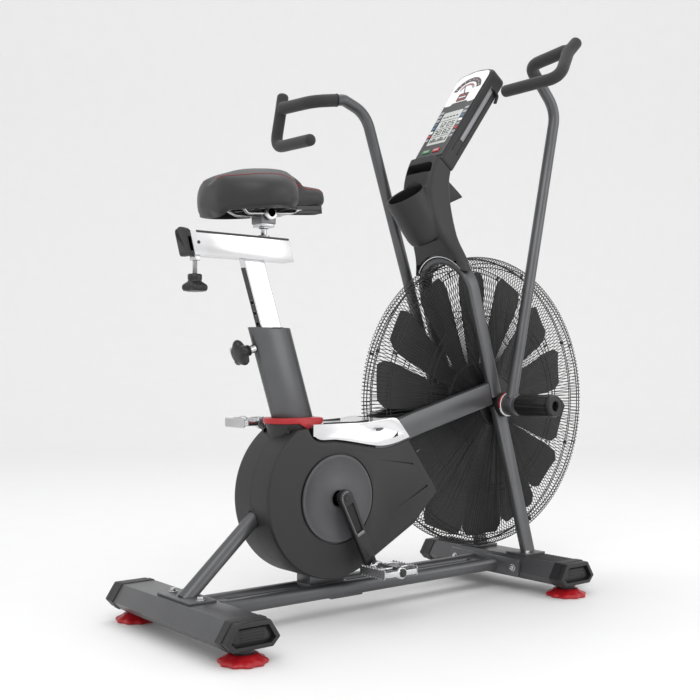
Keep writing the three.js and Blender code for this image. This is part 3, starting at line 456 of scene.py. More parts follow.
def levelling_foot(node):
    x, y, _ = from_metres(centre(node))
    disc = lobed([
        (0, 0, 0), (41, 0, 1), (44, 1.2, 1), (45.5, 4.5, 1), (43, 8, 1), (37, 11, 0.8), (33, 13, 0.3),
        (29, 17, 0), (24, 19, 0), (22, 19, 0), (0, 19, 0),
    ], 10, 0.055, 120)
    piece(f"{node}_disc", shifted(disc, x, y, 0), "red_plastic", BODY_OF[node], (node,), 40)
    neck = lathe([(0, 17), (21, 17), (22, 19), (22, 27), (20, 29.3), (0, 29.3)], 48, "z", (x, y))
    piece(f"{node}_neck", neck, "dark_plastic", BODY_OF[node])
    stem = lathe([(0, 25), (6, 25), (6, 58), (5, 60), (0, 60)], 24, "z", (x, y))
    piece(f"{node}_stem", stem, "steel", BODY_OF[node])


def stabilizer_outline(x, inset):
    top, bottom, waist = 81 - inset, 30 + inset, 47
    upper, middle, lower = 37 - 0.6 * inset, 59 - 1.3 * inset, 43 - 0.6 * inset
    return [(x - lower, bottom), (x + lower, bottom), (x + middle, waist), (x + upper, top), (x - upper, top),
            (x - middle, waist)]


def end_cap(node, x, side):
    """Moulded plug with a framed recess and a ribbed plate in it."""
    item = raw_object(f"{node}_plug", on_side(prism(stabilizer_outline(x, 0.2), "y", 225.2, 243), side))
    soften(item, 2.6, 3)
    recess = prism(stabilizer_outline(x, 8.5), "y", 232, 250)
    carve(item, on_side(recess, side))
    finish_piece(item, "black_plastic", "frame", (node,))
    plate = prism(stabilizer_outline(x, 12.5), "y", 230, 236.5)
    piece(f"{node}_plate", on_side(plate, side), "dark_plastic", soft=1.5)
    ribs = [block(x - 26, x + 26, 234, 238, z, z + 2.4) for z in (46, 52, 58, 64)]
    piece(f"{node}_ribs", on_side(join(*ribs), side), "black_plastic", soft=0.7)


def transport_wheel(node, side):
    x, y, z = from_metres(centre(node))
    tyre = lathe([(17, -10), (23, -10), (25, -8), (25, 8), (23, 10), (17, 10), (17, -10)], 56)
    hub = lathe([
        (4.5, -9.4), (8, -9.4), (8, -7), (17.2, -6), (17.2, 6), (8, 7), (8, 9.4), (4.5, 9.4), (4.5, -9.4),
    ], 48)
    piece(f"{node}_tyre", shifted(tyre, x, y, z), "dark_plastic", BODY_OF[node], (node,))
    piece(f"{node}_hub", shifted(hub, x, y, z), "red_plastic", BODY_OF[node])
    pin = lathe([(0, y + side * 12.8), (5.5, y + side * 12.8), (5.5, y + side * 15.4), (0, y + side * 15.4)],
                24, "y", (x, z))
    piece(f"{node}_pin", pin, "steel")


for where, x in (("rear", 0), ("front", FRONT_X)):
    for name, side in SIDES:
        levelling_foot(f"{where}_foot_{name}")
        end_cap(f"{where}_cap_{name}", x, side)
        # moulded shoulder that the plug carries over the end of the tube
        sleeve = prism(stabilizer_outline(x, -1.1), "y", 205, 225)
        item = raw_object(f"{where}_sleeve_{name}", on_side(sleeve, side))
        carve(item, on_side(prism(stabilizer_outline(x, -0.15), "y", 200, 230), side))
        finish_piece(item, "black_plastic", "frame")
for name, side in SIDES:
    transport_wheel(f"transport_wheel_{name}", side)
    piece(f"rear_plate_bolt_{name}", hex_head(0, side * 53, 86, 13, 8), "steel", soft=0.4)
    piece(f"front_plate_bolt_{name}", hex_head(883, side * 103, 87, 12, 7), "steel", soft=0.4)
    piece(f"flange_bolt_{name}", hex_head(837, side * 98, 57, 13, 7, -90), "steel", soft=0.4)
    ribs = [block(FRONT_X - 34, FRONT_X + 34, y, y + 3, 80.6, 82.2) for y in range(120, 205, 9)]
    piece(f"front_tread_{name}", on_side(join(*ribs), side), "black_plastic", soft=0.5)


# ---- fork, hub and pegs

LEG_Y, LEAN, LEG_BACK, CROWN = 80, 0.3, -12, 364  # LEAN is run over rise, CROWN the height of the arch's top
UP = Vector((-LEAN, 0, 1)).normalized()
ACROSS = Vector((-1, 0, -LEAN)).normalized()


def fork_point(y, along):
    return Vector((HUB_X + LEG_BACK, y, HUB_Z)) + UP * along


def crown_point(angle, grow=0, back=0):
    """Point on the arch over the fan; angle 0 is the top."""
    radius = LEG_Y + grow
    along = CROWN - LEG_Y + radius * math.cos(angle)
    return fork_point(radius * math.sin(angle), along) + ACROSS * back


legs = [fork_point(-LEG_Y, 22)]
legs += [crown_point(math.pi * (i / 36 - 0.5)) for i in range(37)]
legs.append(fork_point(LEG_Y, 22))
piece("fork_bow", sweep(legs, rounded(36, 19, 7.5, 5), side=ACROSS), "frame_grey", replaces=("fork",))
trim = [crown_point(math.radians(a), 11, 11) for a in range(-52, 53, 4)]
piece("crown_trim", sweep(trim, rounded(15, 3, 1.2, 3), side=ACROSS), "chrome")
for i, angle in enumerate((-27, 22)):
    spot = crown_point(math.radians(angle), 13.4, 12)
    screw = lathe([(0, 1.8), (4.2, 1.8), (5.4, 0.6), (5.4, -1), (0, -1)], 24, "z")
    rise, aside = polar(1, angle)
    aim = (UP * rise + Vector((0, aside, 0))).to_track_quat("Z", "X").to_matrix().to_4x4()
    piece(f"crown_screw_{i + 1}", placed(screw, moved(*spot) @ aim), "dark_plastic")
mast_tube = sweep([(696, 0, 806), (652, 0, 978)], circle(16, 32))
piece("mast_tube", mast_tube, "frame_grey")

for name, side in SIDES:
    shell = lathe([
        (8, 64.2), (24, 64.2), (27, 65), (28, 67), (28, 97), (27, 99.5), (24.5, 100.5), (24.5, 103.8),
        (8, 103.8), (8, 64.2),
    ], 72, "y", (HUB_X, HUB_Z))
    piece(f"hub_shell_{name}_finish", on_side(shell, side), "dark_plastic", replaces=(f"hub_shell_{name}",))
    ring = lathe([(25, 101), (27.6, 101), (28, 101.6), (28, 105), (27.4, 105.4), (25, 105.4), (25, 101)],
                 72, "y", (HUB_X, HUB_Z))
    piece(f"hub_ring_{name}", on_side(ring, side), "white_print")
    arc = [upright("y", *polar(28.3, a, HUB_X, HUB_Z), 103.2) for a in range(95, 200, 5)]
    piece(f"hub_ring_mark_{name}", on_side(sweep(arc, rounded(4, 1.2, 0.5, 2)), side), "red_plastic")

    # ribbed peg with a recessed end
    flutes, count, rings = 8, 128, []
    for radius, y in (
        (0, 141.5), (17, 141.5), (18, 142.5), (18, 146), (21, 147), (25.4, 149), (26, 152), (26, 236),
        (25.2, 239), (25.6, 241), (25.6, 247), (23.5, 251.5), (12.5, 251.8), (11, 250), (10.5, 238), (0, 238),
    ):
        cut = 2.6 if 151 < y < 240 else 0
        turns = [360 * i / count for i in range(count)]
        reach = [radius - cut * max(0.0, math.cos(math.radians(flutes * turn))) ** 6 for turn in turns]
        rings.append([upright("y", *polar(r, turn, HUB_X, HUB_Z), y) for r, turn in zip(reach, turns)])
    piece(f"foot_peg_{name}_finish", on_side(skin(rings), side), "dark_plastic",
          replaces=(f"foot_peg_{name}",), smooth=45)
    rim = lathe([(19, 251), (21, 252.4), (22.4, 252.4), (23.6, 251), (19, 251)], 72, "y", (HUB_X, HUB_Z))
    piece(f"foot_peg_{name}_rim", on_side(rim, side), "black_plastic")


# ---- swinging arms and foam grips

ARM_RIGHT, ARM_LEFT = 14.1, -19.0  # lean of the arms in degrees
ARM_END = (-97, 115, 795)


def arm_place(side):
    return HUB_PLACE @ turned(ARM_RIGHT if side < 0 else ARM_LEFT)


for name, side in SIDES:
    body = f"{name}_arm"
    boss = lathe([
        (8, 106.2), (22.5, 106.2), (25, 107.2), (26, 109), (26, 134), (24.5, 137), (21, 138), (19.5, 139.3),
        (8, 139.3), (8, 106.2),
    ], 72, "y")
    route = bent([(-12, 124, 12), (-18, 115, 748), (-80, 110, 792), ARM_END], [75, 20], 14)
    pipe = sweep(route, circle(13.5, 40))
    piece(f"{body}_tube", placed(on_side(join(boss, pipe), side), arm_place(side)), "frame_grey", body,
          (f"arm_{name}",), 40)
    route = bent([(-96.6, 115.2, 795), (-150, 130.9, 805.4), (-158, 247, 812)], [46], 14)
    run = domed_tube(route, 15.2, ends=False)
    route = bent([(-139, 258, 839), (-158, 256, 806), (-190, 274, 726), (-201, 117, 721)], [60, 30], 14)
    horn = domed_tube(route, 14.4)
    item = raw_object(f"{body}_grip", placed(on_side(join(run, horn), side), arm_place(side)))
    remesh(item, 2.6, 5)
    finish_piece(item, "foam", body, (f"grip_{name}",), 60)
    collar = sweep([(-95.2, 114.7, 794.6), (-97.4, 115.3, 795.2)], circle(15.6, 40))
    piece(f"{body}_sleeve_end", placed(on_side(collar, side), arm_place(side)), "dark_plastic", body)


# ---- fan and cage

def fan_blade(turn):
    """Broad pitched paddle with rounded tips and a slight camber; turn in radians about the axle."""
    root, end, rows, across, rings = 86, 324, 12, 10, []
    for i in range(rows + 1):
        reach = root + (end - root) * i / rows
        spread, tip = min(1, (reach - root) / 190), max(0, (reach - end + 20) / 20)
        lead, trail = 20 + 38 * spread - 12 * tip ** 2, 20 + 34 * spread - 14 * tip ** 2
        line = [-trail + (lead + trail) * k / across for k in range(across + 1)]
        arch = [(s, 3.5 * (1 - (s / 60) ** 2)) for s in line]
        rings.append([(s, y + 1.1, reach) for s, y in arch] + [(s, y - 1.1, reach) for s, y in reversed(arch)])
    return placed(skin(rings, caps=True), HUB_PLACE @ Matrix.Rotation(turn, 4, "Y") @ turned(12, "Z"))


BLADES = 14
blades = [fan_blade(2 * math.pi * (i - 0.14) / BLADES) for i in range(BLADES)]
piece("fan_blades", join(*blades), "fan_black", "fan", ("fan_wheel",), 40)
disc = lathe([
    (8, -20), (22, -20), (25, -17), (27, -9), (60, -7), (98, -6), (100, -4), (100, 4), (98, 6), (60, 7),
    (27, 9), (25, 18), (22, 21), (8, 21), (8, -20),
], 96, "y", (HUB_X, HUB_Z))
piece("fan_disc", disc, "fan_black", "fan")
ribs = []
RIBS = 39
for i in range(RIBS):
    turn = HUB_PLACE @ turned(360 * i / RIBS)
    ribs.append(placed(block(-1.6, 1.6, -10, 10, 62, 99), turn))
    if i % 3 == 0:
        ribs.append(placed(block(-1.4, 1.4, -13, 13, 26, 62), turn))
piece("fan_ribs", join(*ribs), "fan_black", "fan", soft=0.5)

CAGE_WIRES = 122
for name, side in SIDES:
    run = [(349.4, 2), (352, 8), (353, 16), (351.6, 26), (347, 35), (339, 41.5), (322, 44.4), (270, 46.6),
           (232, 48), (180, 50.6), (120, 54.4), (56, 59)]
    wires = []
    for i in range(2 * CAGE_WIRES):
        turn = math.pi * (i + (0.25 if side < 0 else 0.75)) / CAGE_WIRES
        ray = Vector((math.cos(turn), 0, math.sin(turn)))
        twist = Vector((-math.sin(turn), 0, math.cos(turn)))
        path = [Vector((CAGE_X, y, CAGE_Z)) + ray * r for r, y in run]
        wires.append(sweep(path, circle(0.85, 6), side=twist))
    item = raw_object(f"cage_wires_{name}", on_side(join(*wires), side))
    finish_piece(item, "black_wire", "frame", (f"cage_{name}",), 60)
    hoops = [ring_wire(347.6, 2.4, 1.1), ring_wire(335, 40.6, 1.2), ring_wire(325, 42, 1.2),
             ring_wire(222, 47, 1.2), ring_wire(206, 48, 1.2), ring_wire(60, 60.4, 2.0)]
    plate = lathe([(17, 57.5), (57, 57.5), (58.5, 58.5), (58.5, 60.5), (50, 62), (17, 62), (17, 57.5)], 72, "y",
                  (CAGE_X, CAGE_Z))
    piece(f"cage_hoops_{name}", on_side(join(*hoops, plate), side), "black_wire", smooth=50)
    clips = []
    for i in range(8):
        turn = CAGE_PLACE @ turned(45 * i + 20)
        clips.append(placed(block(-4, 4, 0.3, 5, 345.5, 349.5), turn))
        clips.append(placed(block(-2.2, 2.2, 39.6, 43, 323, 337), turn))
    piece(f"cage_clips_{name}", on_side(join(*clips), side), "dark_plastic", soft=0.8)


# ---- drive shroud

DRUM, HALF = 175, 70


def smooth_line(points, steps=6):
    """Curve through the points."""
    def blend(t, a, b, c, d):
        square, cube = 2 * a - 5 * b + 4 * c - d, 3 * b - a - 3 * c + d
        return 0.5 * (2 * b + (c - a) * t + square * t * t + cube * t ** 3)
    out, padded = [], [points[0], *points, points[-1]]
    for i in range(len(points) - 1):
        near = list(zip(*padded[i:i + 4]))
        out += [tuple(blend(k / steps, *values) for values in near) for k in range(steps)]
    return out + [tuple(points[-1])]


COVER_EDGE = smooth_line([
    (254, 410), (264, 394.5), (283, 385.5), (322, 384.5), (373, 377), (411, 370.2), (449, 366), (488, 370.2),
    (531, 382),
])


def drum_arc(radius, start, end, steps):
    return [polar(radius, start + (end - start) * i / steps, CRANK_X, CRANK_Z) for i in range(steps + 1)]


SHROUD_LINE = [(226, 407.5)] + drum_arc(DRUM, 125.5, 295, 64)[1:] + [(549, 185), (624, 254)]
SHROUD_LINE += list(reversed(COVER_EDGE))


def clear_of(line, point):
    """Distance from a point to a closed line."""
    best = 1e9
    for i in range(len(line)):
        a, b = Vector(line[i - 1]), Vector(line[i])
        run = b - a
        t = min(1, max(0, (point - a).dot(run) / run.length_squared))
        best = min(best, (point - a - run * t).length)
    return best


def shroud_outline(inset):
    """Side view of the drum with its trunk towards the fan, drawn smaller by inset."""
    if not inset:
        return SHROUD_LINE
    count = len(SHROUD_LINE)
    line, good = [], []
    for i in range(count):
        before, here, after = (Vector(SHROUD_LINE[k % count]) for k in (i - 1, i, i + 1))
        ahead, behind = (after - here).normalized(), (here - before).normalized()
        inward = Vector((-ahead.y - behind.y, ahead.x + behind.x)).normalized()
        spot = here + inward * (inset / max(0.3, inward.dot(Vector((-ahead.y, ahead.x)))))
        line.append(spot)
        good.append(clear_of(SHROUD_LINE, spot) > 0.985 * inset)
    # corners swallow the points that would cross over them
    kept = [i for i in range(count) if good[i]]
    return [tuple(line[min(kept, key=lambda k: min(abs(k - i), count - abs(k - i)))]) for i in range(count)]


def rounded_shell(low):
    """Half of the shroud from the middle plane out, with a rounded outer edge."""
    stations = [(low, 0), (56, 0), (59, 0.3)]
    for angle in (20, 34, 48, 62, 76, 90):
        aside, rise = polar(13, angle)
        stations.append((57 + rise, 13 - aside))
    return skin([[(x, y, z) for x, z in shroud_outline(inset)] for y, inset in stations], caps=True)


def sloped_face(depth):
    """Room outside the flat face of the drum: a slope towards the rim that fades out on the trunk's side."""
    sides, rings = 128, []
    for radius, share, lift in ((127, 0, 0.06), (176, 1, 0.06), (232, 2.1, 0.06), (232, 0, 30), (127, 0, 30)):
        ring = []
        for i in range(sides):
            angle = 360 * i / sides
            fade = min(1, max(0, (angle - 72) / 38)) * min(1, max(0, (312 - angle) / 40))
            fade = fade * fade * (3 - 2 * fade)
            y = HALF + lift - depth * share * fade
            ring.append(upright("y", *polar(radius, angle, CRANK_X, CRANK_Z), y))
        rings.append(ring)
    return skin([*rings, rings[0]])


def strut_bar(radius, start, end):
    return sweep([start, end], circle(radius, 40))


SEAT_PLACE = moved(257, 0, 430) @ turned(-17.6)


def oval_bar(width, thick, low, high):
    section = [(a * width / 2, b * thick / 2) for a, b in circle(1, 64)]
    return placed(prism(section, "z", low, high), SEAT_PLACE)


def boom_channel(air):
    def z(x):
        return 406.5 + 0.2976 * (x - 540)
    path = bent([(430, 57, z(430)), (560, 57, z(560)), (773, 80, z(773))], [120], 12)
    return sweep(path, rounded(19 + 2 * air, 54 + 2 * air, 5))


def wedge(x0, z0, x1, z1, wide, deep):
    """Long tapering dent in the side face, deepest at its front end."""
    along = Vector((x1 - x0, 0, z1 - z0)).normalized()
    down = Vector((along.z, 0, -along.x))
    tip, end = Vector((x0, HALF + 0.2, z0)), Vector((x1, HALF + 0.2, z1))
    points = [tip, end, end + down * wide, end - Vector((0, deep, 0)) + down * wide * 0.25,
              tip + Vector((0, 8, 0)), end + Vector((0, 8, 0)), end + down * wide + Vector((0, 8, 0))]
    return points, [(0, 1, 3), (0, 3, 2), (1, 2, 3), (0, 4, 5, 1), (1, 5, 6, 2), (2, 6, 4, 0), (4, 6, 5)]


CAGE_ROOM = (
    lathe([(0, -46), (356, -46), (356, 46), (0, 46)], 160, "y", (CAGE_X, CAGE_Z)),
    lathe([(0, -50.5), (300, -50.5), (300, 50.5), (0, 50.5)], 120, "y", (CAGE_X, CAGE_Z)),
)
LOW_STRUT = ((-6, 0, 78), (300, 0, 351))
DISC_CENTRE = (CRANK_X, CRANK_Z - 4)


def disc_ring(inner, outer, y0, y1):
    """Square ring round the disc cover."""
    return lathe([(inner, y0), (outer, y0), (outer, y1), (inner, y1), (inner, y0)], 128, "y", DISC_CENTRE)


for name, side in SIDES:
    item = raw_object(f"shroud_{name}_skin", on_side(rounded_shell(0.3), side))
    cuts = [prism([(CRANK_X + a, CRANK_Z + b) for a, b in circle(20, 48)], "y", -2, 92)]
    cuts += [prism(shroud_outline(3), "y", -1, 55), prism(shroud_outline(15), "y", 54, HALF - 4)]
    cuts += [prism([(300, 355), (530, 355), (530, 376), (300, 386)], "y", -1, 56)]
    cuts += [boom_channel(0.8), *CAGE_ROOM, oval_bar(100, 50, -200, 200), strut_bar(17, *LOW_STRUT)]
    cuts += [block(284, 380, -26.5, 26.5, 60, 118)]
    carve(item, *[on_side(shape, side) for shape in cuts])
    carve(item, on_side(sloped_face(5), side))
    carve(item, on_side(disc_ring(93.2, 97.4, HALF - 3, HALF + 5), side))
    for dent in (wedge(426, 338, 541, 323, 6, 3.2), wedge(480, 220, 585, 267, -7, 3.2)):
        carve(item, on_side(dent, side))
    finish_piece(item, "black_plastic", "frame", (f"shroud_{name}",), 38)
    floor_ring = disc_ring(93.4, 97.2, HALF - 3, HALF - 2)
    piece(f"shroud_groove_{name}", on_side(floor_ring, side), "dark_plastic")
    disc = lathe([
        (18, 0.2), (93, 0.2), (93, 2.6), (91.8, 3.8), (87, 3.8), (85.4, 2.2), (30, 2.2), (27, 5), (18, 5),
        (18, 0.2),
    ], 128, "y", DISC_CENTRE)
    piece(f"disc_cover_{name}_finish", on_side(shifted(disc, 0, HALF, 0), side), "disc_grey",
          replaces=(f"disc_cover_{name}",), smooth=50)
    # countersunk fixing screw of the neck under the collar
    socket = lathe([(0, 46), (3.6, 46), (4.6, 48.4), (6, 48.4), (6, 44), (0, 44)], 28, "y", (218, 404))
    piece(f"skirt_screw_{name}", on_side(socket, side), "dark_plastic", smooth=50)
    for i, (x, z) in enumerate(((554, 210), (350, 117), (470, 168))):
        screw = lathe([(0, HALF - 9), (2.6, HALF - 9), (3.4, HALF - 3.5), (4.6, HALF - 3.5), (4.6, HALF - 14),
                       (0, HALF - 14)], 24, "y", (x, z))
        piece(f"shroud_screw_{name}_{i + 1}", on_side(screw, side), "dark_plastic", smooth=50)

# boss where the rear strut enters the drum, with a ridge above it
boss_path = [(163, 0, 228.8), (196, 0, 258.2)]
item = raw_object("strut_boss", sweep(boss_path, circle(25, 56), scales=[0.92, 1.12]))
ridge = prism([(160, 232), (168, 228), (196, 250), (186, 330)], "y", -11, 11)
carve(item, ridge, mode="UNION")
carve(item, strut_bar(16.6, *LOW_STRUT))
carve(item, lathe([(0, -70), (DRUM - 5, -70), (DRUM - 5, 70), (0, 70)], 128, "y", (CRANK_X, CRANK_Z)))
soften(item, 1.6, 2, 40)
finish_piece(item, "black_plastic", "frame", smooth=40)

# bright cover in front of the seat tube: crowned, with a dent in each side
side_view = [(262, 418.5), (262, 394)] + [(x, z + 0.6) for x, z in COVER_EDGE if x > 264]
side_view += smooth_line([
    (531, 383), (515, 402), (499, 420), (488, 426), (470, 426), (448, 423.5), (418, 420), (388, 418.5),
    (330, 418.5), (262, 418.5),
], 3)[1:-1]
item = raw_object("top_cover_shell", prism(side_view, "y", -HALF + 1.5, HALF - 1.5))
soften(item, 13, 5, 8, lambda p: p.z > 400 and p.x > 290 and abs(p.y) > 60)
carve(item, *CAGE_ROOM, oval_bar(99, 49, -200, 200), boom_channel(0.6), mirrored(boom_channel(0.6)))
for y in (-1, 1):
    carve(item, shifted(lathe([(0, -30), (30, -24), (44, 0), (30, 24), (0, 30)], 48, "z"), 440, y * 108, 404))
finish_piece(item, "chrome", "frame", ("top_cover",), 50)
for name, side in SIDES:
    strip = sweep(smooth_line([(300, 55, 419.4), (340, 57, 419.8), (388, 56, 419.6), (424, 50, 422)], 6),
                  rounded(7, 3.2, 1.4, 3))
    piece(f"cover_strip_{name}", on_side(strip, side), "dark_plastic")
    vent = prism([(482, 382.5), (496, 386), (496, 396)], "y", 60, HALF - 0.9)
    piece(f"cover_vent_{name}", on_side(vent, side), "dark_plastic")

# collar and neck round the seat tube
def neck_plan(centre_x, half, front, bulge):
    """Round at the back, nearly square at the front with a bulge round the tube."""
    line = [polar(half, a, centre_x) for a in range(90, 271, 6)]
    line += [(front - 5, -half), (front - 1.5, -half + 1.5), (front, -half + 5)]
    for angle in range(-80, 81, 10):
        ahead, aside = polar(1, angle)
        line.append((front + bulge * ahead, (half - 5) * aside))
    return line + [(front, half - 5), (front - 1.5, half - 1.5), (front - 5, half)]


def loft_z(rings):
    """Skin over outlines at rising heights: (outline, z)."""
    return skin([[(x, y, z) for x, y in outline] for outline, z in rings], caps=True)


rings = [(neck_plan(251, 45, 272, 0.5), 380), (neck_plan(245, 47.5, 272, 0.5), 419.4)]
item = raw_object("collar_neck", loft_z(rings))
carve(item, oval_bar(98.8, 48.8, -120, 60))
finish_piece(item, "black_plastic", "frame", smooth=40)
rings = [(neck_plan(242.5, 49, 297, 19), 419.4), (neck_plan(242, 50.6, 298, 20), 420.6),
         (neck_plan(242, 51, 298.4, 20.4), 429.4), (neck_plan(242, 50.2, 297.8, 20), 431),
         (neck_plan(242, 48, 296, 19), 432)]
item = raw_object("seat_collar_ring", loft_z(rings))
tongue = prism([(240, 425), (240, 419.6), (264, 407.6), (293, 415), (296, 425)], "y", 44, 50.8)
carve(item, join(tongue, mirrored(tongue)), mode="UNION")
carve(item, oval_bar(105, 55, -60, 60))
soften(item, 0.8, 2, 50)
finish_piece(item, "red_plastic", "frame", ("seat_collar",), 40)


# ---- cranks and pedals

CRANK_LENGTH, CRANK_TURN = 168, 25.5


def crank_place(side):
    """Right crank points down and forward, the left one up and back."""
    return moved(CRANK_X, 0, CRANK_Z) @ turned(-CRANK_TURN if side < 0 else 180 - CRANK_TURN)


def pedal_centre(side):
    p = crank_place(side) @ Vector((0, 0, -CRANK_LENGTH))
    return p.x, p.z


def crank_side(radius, low, length, y0, y1):
    """Tapered crank arm seen from the side, from its boss down to the pedal eye."""
    line = [polar(radius, a) for a in range(-4, 185, 8)]
    return prism(line + [polar(low, a, 0, -length) for a in range(184, 357, 8)], "y", y0, y1)


for name, side in SIDES:
    place = crank_place(side)
    arm = crank_side(17.5, 13, CRANK_LENGTH, 88, 102.5)
    item = raw_object(f"crank_arm_{name}_finish", placed(on_side(arm, side), place))
    soften(item, 2.6, 3, 40)
    panel = prism([(-9.5, -16), (9.5, -16), (8.6, -82), (-8.6, -82)], "y", 99.4, 110)
    carve(item, placed(on_side(panel, side), place))
    finish_piece(item, "dark_plastic", "crank", (f"crank_arm_{name}",), 40)
    inlay = prism([(-9.2, -16.4), (9.2, -16.4), (8.4, -81.6), (-8.4, -81.6)], "y", 98.5, 100.2)
    piece(f"crank_inlay_{name}", placed(on_side(inlay, side), place), "belt_rubber", "crank", soft=0.3)
    step = block(-10.2, 10.2, 99, 103.2, -90, -82.6)
    piece(f"crank_step_{name}", placed(on_side(step, side), place), "grey_metal", "crank", soft=1.0)
    edge = sweep([(-13.6, 102.6, 4), (-11.4, 102.6, -82)], circle(0.9, 8))
    piece(f"crank_edge_{name}", placed(on_side(edge, side), place), "grey_metal", "crank")
    ticks = []
    for i in range(6):
        turn = turned(-78 + 22 * i)
        ticks.append(placed(block(-1.6, 1.6, 102, 103.1, 11, 14.6), turn))
    piece(f"crank_ticks_{name}", placed(on_side(join(*ticks), side), place), "grey_metal", "crank", soft=0.3)
    nut = lathe([(0, 104.8), (6, 104.8), (7.2, 103.6), (7.2, 102), (0, 102)], 6, "y")
    piece(f"crank_nut_{name}", placed(on_side(nut, side), place), "dark_plastic", "crank")
    eye = lathe([(0, 87.2), (9, 87.2), (10, 88.4), (10, 103), (9, 104), (0, 104)], 40, "y", (0, -CRANK_LENGTH))
    axle = lathe([(0, 100), (6, 100), (6, 192), (5, 194), (0, 194)], 32, "y", (0, -CRANK_LENGTH))
    piece(f"pedal_axle_{name}", placed(on_side(join(eye, axle), side), place), "steel", "crank")


def pedal_parts(side):
    """Open cage pedal: toothed side plates joined by wire bows round a barrel."""
    x, z = pedal_centre(side)
    inner, outer, teeth = 112, 192, 9
    plates, bows = [], []
    for edge in (-1, 1):
        comb = [(inner + (outer - inner) * i / (teeth * 2), 11 if i % 2 else 7.2) for i in range(teeth * 2 + 1)]
        outline = comb + [(outer, -7.2)] + [(y, -z) for y, z in comb[-2:0:-1]] + [(inner, -7.2)]
        plates.append(shifted(prism(outline, "x", -1.1, 1.1), 44.6 * edge, 0, 0))
        # bent wings that hold the side plates to the barrel
        for y0 in (inner, 187):
            plates.append(block(min(0, 44 * edge), max(0, 44 * edge), y0, y0 + 2.4, -6, 6))
        for y, turn in ((128, 8), (176, -8)):
            wire = [(12 * edge, y, 9), (30 * edge, y, 9.6), (43 * edge, y + turn, 8)]
            bows.append(sweep(bent(wire, [8], 5), circle(1.7, 8)))
    for y, back in ((107.6, 5), (196.2, -5)):
        wire = bent([(-44.6, y + back, 0), (-38, y, 0), (38, y, 0), (44.6, y + back, 0)], [5, 5], 5)
        bows.append(sweep(wire, rounded(2.2, 11, 0.9, 2)))
    barrel = lathe([
        (6.6, 108), (13, 108), (14, 109), (14, 119), (10.5, 122), (9.6, 152), (10.5, 182), (12.6, 185),
        (12.6, 194), (11, 196), (6.6, 196), (6.6, 108),
    ], 48)
    end = lathe([(0, 196), (9, 196), (9, 198), (7, 199.4), (0, 199.4)], 32, "y")
    return [on_side(shifted(s, x, 0, z), side) for s in (join(*plates), join(*bows), barrel, end)]


for name, side in SIDES:
    plates, bows, barrel, end = pedal_parts(side)
    body = f"{name}_pedal"
    piece(f"pedal_plates_{name}", plates, "steel", body, (f"pedal_{name}",), 30)
    piece(f"pedal_bows_{name}", bows, "steel", body, smooth=40)
    piece(f"pedal_barrel_{name}", barrel, "steel", body, smooth=40)
    piece(f"pedal_end_{name}", end, "dark_plastic", body, smooth=40)


# ---- seat post, rail and knobs

PIN_HEIGHT, NOTCHES, NOTCH_STEP = 171, 9, 23
strip = raw_object("post_strip", placed(block(-25.45, -24, -8.2, 8.2, 12, 338), SEAT_PLACE))
for i in range(NOTCHES):
    z = PIN_HEIGHT + NOTCH_STEP * (i - NOTCHES // 2)
    carve(strip, placed(block(-30, -20, -4, 4, z - 4.4, z + 4.4), SEAT_PLACE))
soften(strip, 0.3, 1)
finish_piece(strip, "dark_plastic", "seat_mast")
lip = raw_object("seat_tube_lip", oval_bar(98.8, 48.8, 195, 203))
carve(lip, placed(prism(rounded(51.8, 21.8, 4, 3), "z", 100, 300), SEAT_PLACE))
carve(lip, block(0, 400, -100, 100, 622.6, 800), block(0, 400, -100, 100, 500, 619.5))
finish_piece(lip, "dark_plastic", "frame")

OUT = SEAT_PLACE @ moved(0, 0, PIN_HEIGHT) @ turned(-90)
head = lobed([
    (0, 75, 0), (14, 75, 0), (19, 76, 0.4), (23.6, 79, 0.9), (25.8, 84, 1), (25.8, 88, 1), (24, 92, 1),
    (20, 95, 0.9), (12, 96.6, 0.5), (0, 97.2, 0),
], 5, 0.12, 100)
neck = lathe([(0, 62.6), (9.5, 62.6), (11.6, 63.4), (11.6, 66), (10.2, 67), (11.8, 68.6), (12.6, 73), (16, 77),
              (0, 77)], 48, "z")
piece("post_knob_head", placed(join(head, neck), OUT), "dark_plastic", "height_pin", ("post_knob",), 50)
guide = lathe([(0, 49.4), (9, 49.4), (9, 61.6), (8.2, 62.6), (0, 62.6)], 48, "z")
pin = lathe([(0, 25.8), (3.2, 25.8), (3.2, 40), (5, 41), (5, 60), (0, 60)], 32, "z")
piece("post_knob_guide", placed(join(guide, pin), OUT), "steel", "height_pin")
arc = [(*polar(17.5, a), 96.2) for a in range(20, 150, 6)]
piece("post_knob_mark", placed(sweep(arc, circle(0.8, 8)), OUT), "white_print", "height_pin")
rim = [(*polar(18.6, a), 95.4) for a in range(200, 330, 6)]
piece("post_knob_groove", placed(sweep(rim, circle(0.7, 8)), OUT), "black_plastic", "height_pin")


def slanted(shape):
    """Leans a shape back with the slanted ends of the rail."""
    level = 786
    points, faces = shape
    slope = math.tan(math.radians(14))
    return [Vector((x - slope * (z - level), y, z)) for x, y, z in points], faces


